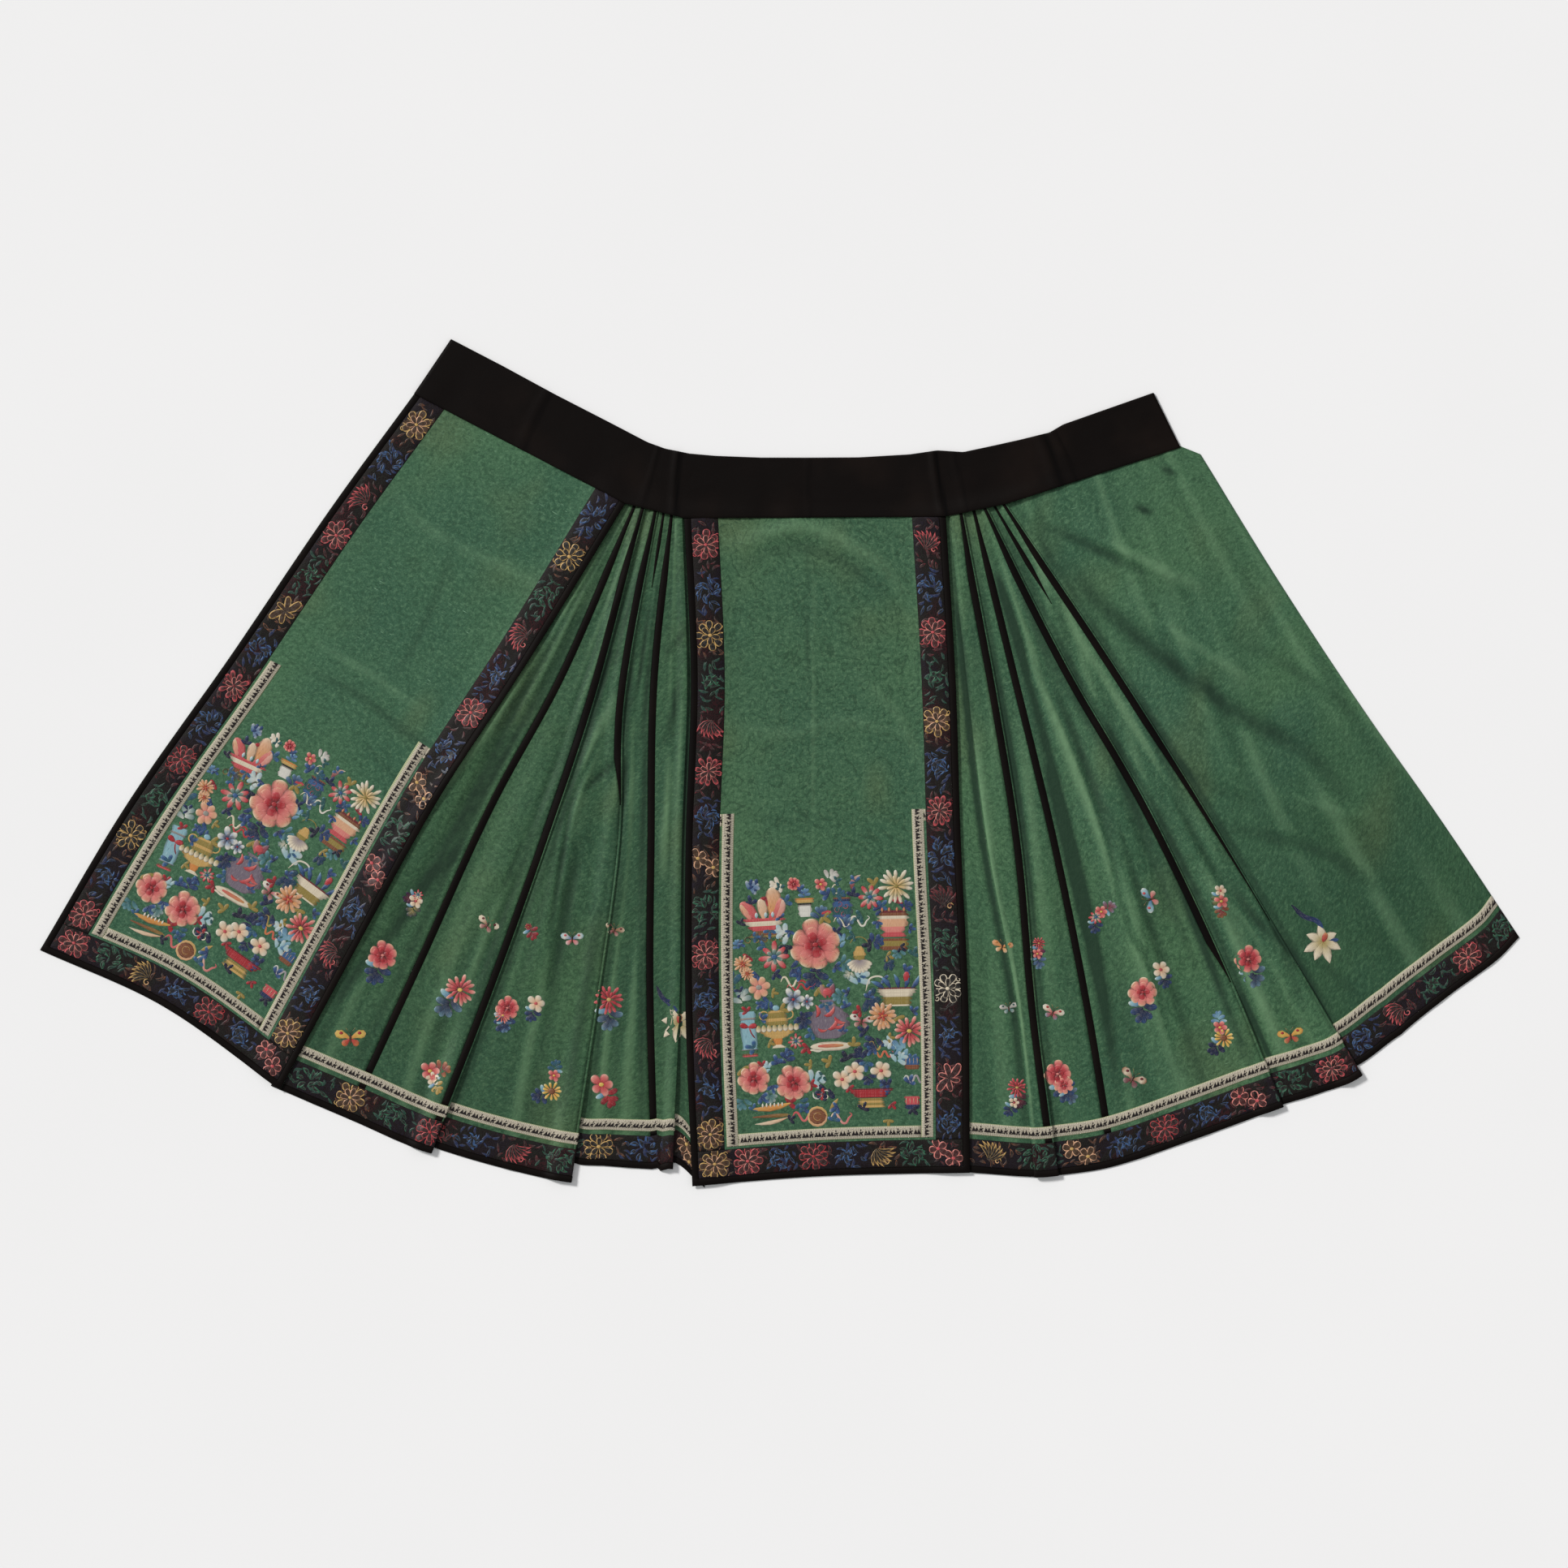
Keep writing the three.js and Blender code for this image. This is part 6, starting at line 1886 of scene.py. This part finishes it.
def weave_border(node, sheet, kind):
    """The figures of one brocade strip. kind is left, right, bottom or hem."""
    names = BORDERS[node].split()
    width = float(sheet.rows["places"][-1, -1])
    s = Stitches()
    chance = random.Random(node)
    middle = BINDING + BROCADE / 2
    inset = BINDING if kind == "bottom" else 0
    upright = kind in ("left", "right")
    length = sheet.longest - PANEL_FIELD if upright else width - 2 * inset

    def spot(travel, aside, turn):
        if upright:
            inward = middle + aside if kind == "left" else -(middle + aside)
            x, y, angle = spot_on(sheet, kind == "right", inward, sheet.longest - WAIST_CLEAR - travel)
        else:
            x, y, angle = spot_on(sheet, 0, inset + travel, middle + aside)
        s.move(x, y, angle + turn)

    for k in range(round(length / CARPET_STEP)):
        zone = CARPET.get(names[min(int(k * CARPET_STEP / length * len(names)), len(names) - 1)], "wine")
        colours, light = CARPET_DYES[zone]
        for aside in (-11, 0, 11):
            spot((k + chance.random()) * CARPET_STEP, aside + chance.uniform(-5, 5), chance.uniform(0, 360))
            s.petal(-6, 0, 0, chance.uniform(9, 15), chance.uniform(3, 5.5), colours,
                    light if chance.random() < CARPET_OUTLINED else None, "leaf",
                    bend=chance.uniform(-60, 60), layer=0.3 * chance.random(), rise=0.2)
    for k, name in enumerate(names):
        spot(length * (k + 0.5) / len(names), 0, 0)
        border_figure(s, name, 47 * k)
    lay_stitches(s, [node], "brocade")


embroider_square("panel_left", left_panel)
embroider_square("panel_centre", centre_panel)
embroider_fan("left", LEFT_GORES)
embroider_fan("right", RIGHT_GORES)
for side, sheet in (("panel_left", left_panel), ("panel_centre", centre_panel)):
    for kind in ("left", "right", "bottom"):
        weave_border(f"{side}_brocade_{kind}", sheet, kind)
weave_border("hem_left_brocade", left_fan, "hem")
weave_border("hem_right_brocade", right_fan, "hem")


def add_studio():
    """Pale floor, even soft light with a broad key from the upper left, and the camera over the skirt."""
    bpy.ops.mesh.primitive_plane_add(size=FLOOR_SIZE, location=(0, 0, -FLOOR_DROP))
    floor = bpy.context.object
    floor.name = "floor"
    m = Material("pale_floor", 0.9, 0.1)
    grain = m.noise(m.node("ShaderNodeTexCoord").outputs["Object"], 3.0, 2.0)
    colour = m.blend(m.fade(grain, 0.2, 0.8), rgb(240, 240, 241), rgb(241, 241, 242))
    floor.data.materials.append(m.finish(colour))

    world = bpy.data.worlds.new("studio")
    world.use_nodes = True
    sky = world.node_tree.nodes["Background"].inputs
    sky["Color"].default_value = SKY_COLOUR
    sky["Strength"].default_value = SKY_STRENGTH
    bpy.context.scene.world = world

    sun = bpy.data.lights.new("key", "SUN")
    sun.energy = KEY_STRENGTH
    sun.angle = math.radians(KEY_SPREAD)
    sun.color = KEY_COLOUR
    key = bpy.data.objects.new("key", sun)
    key.rotation_euler = Vector(KEY_FROM).to_track_quat("Z", "Y").to_euler()
    bpy.context.scene.collection.objects.link(key)

    lens = bpy.data.cameras.new("camera")
    lens.lens = FOCAL_LENGTH
    lens.sensor_width = SENSOR_WIDTH
    lens.clip_end = CAMERA_REACH
    camera = bpy.data.objects.new("camera", lens)
    camera.location = (*CAMERA_OVER, VIEW_WIDTH * FOCAL_LENGTH / SENSOR_WIDTH)
    bpy.context.scene.collection.objects.link(camera)
    bpy.context.scene.camera = camera

    bpy.context.scene.view_settings.view_transform = "Standard"
    bpy.context.scene.view_settings.look = "None"


add_studio()
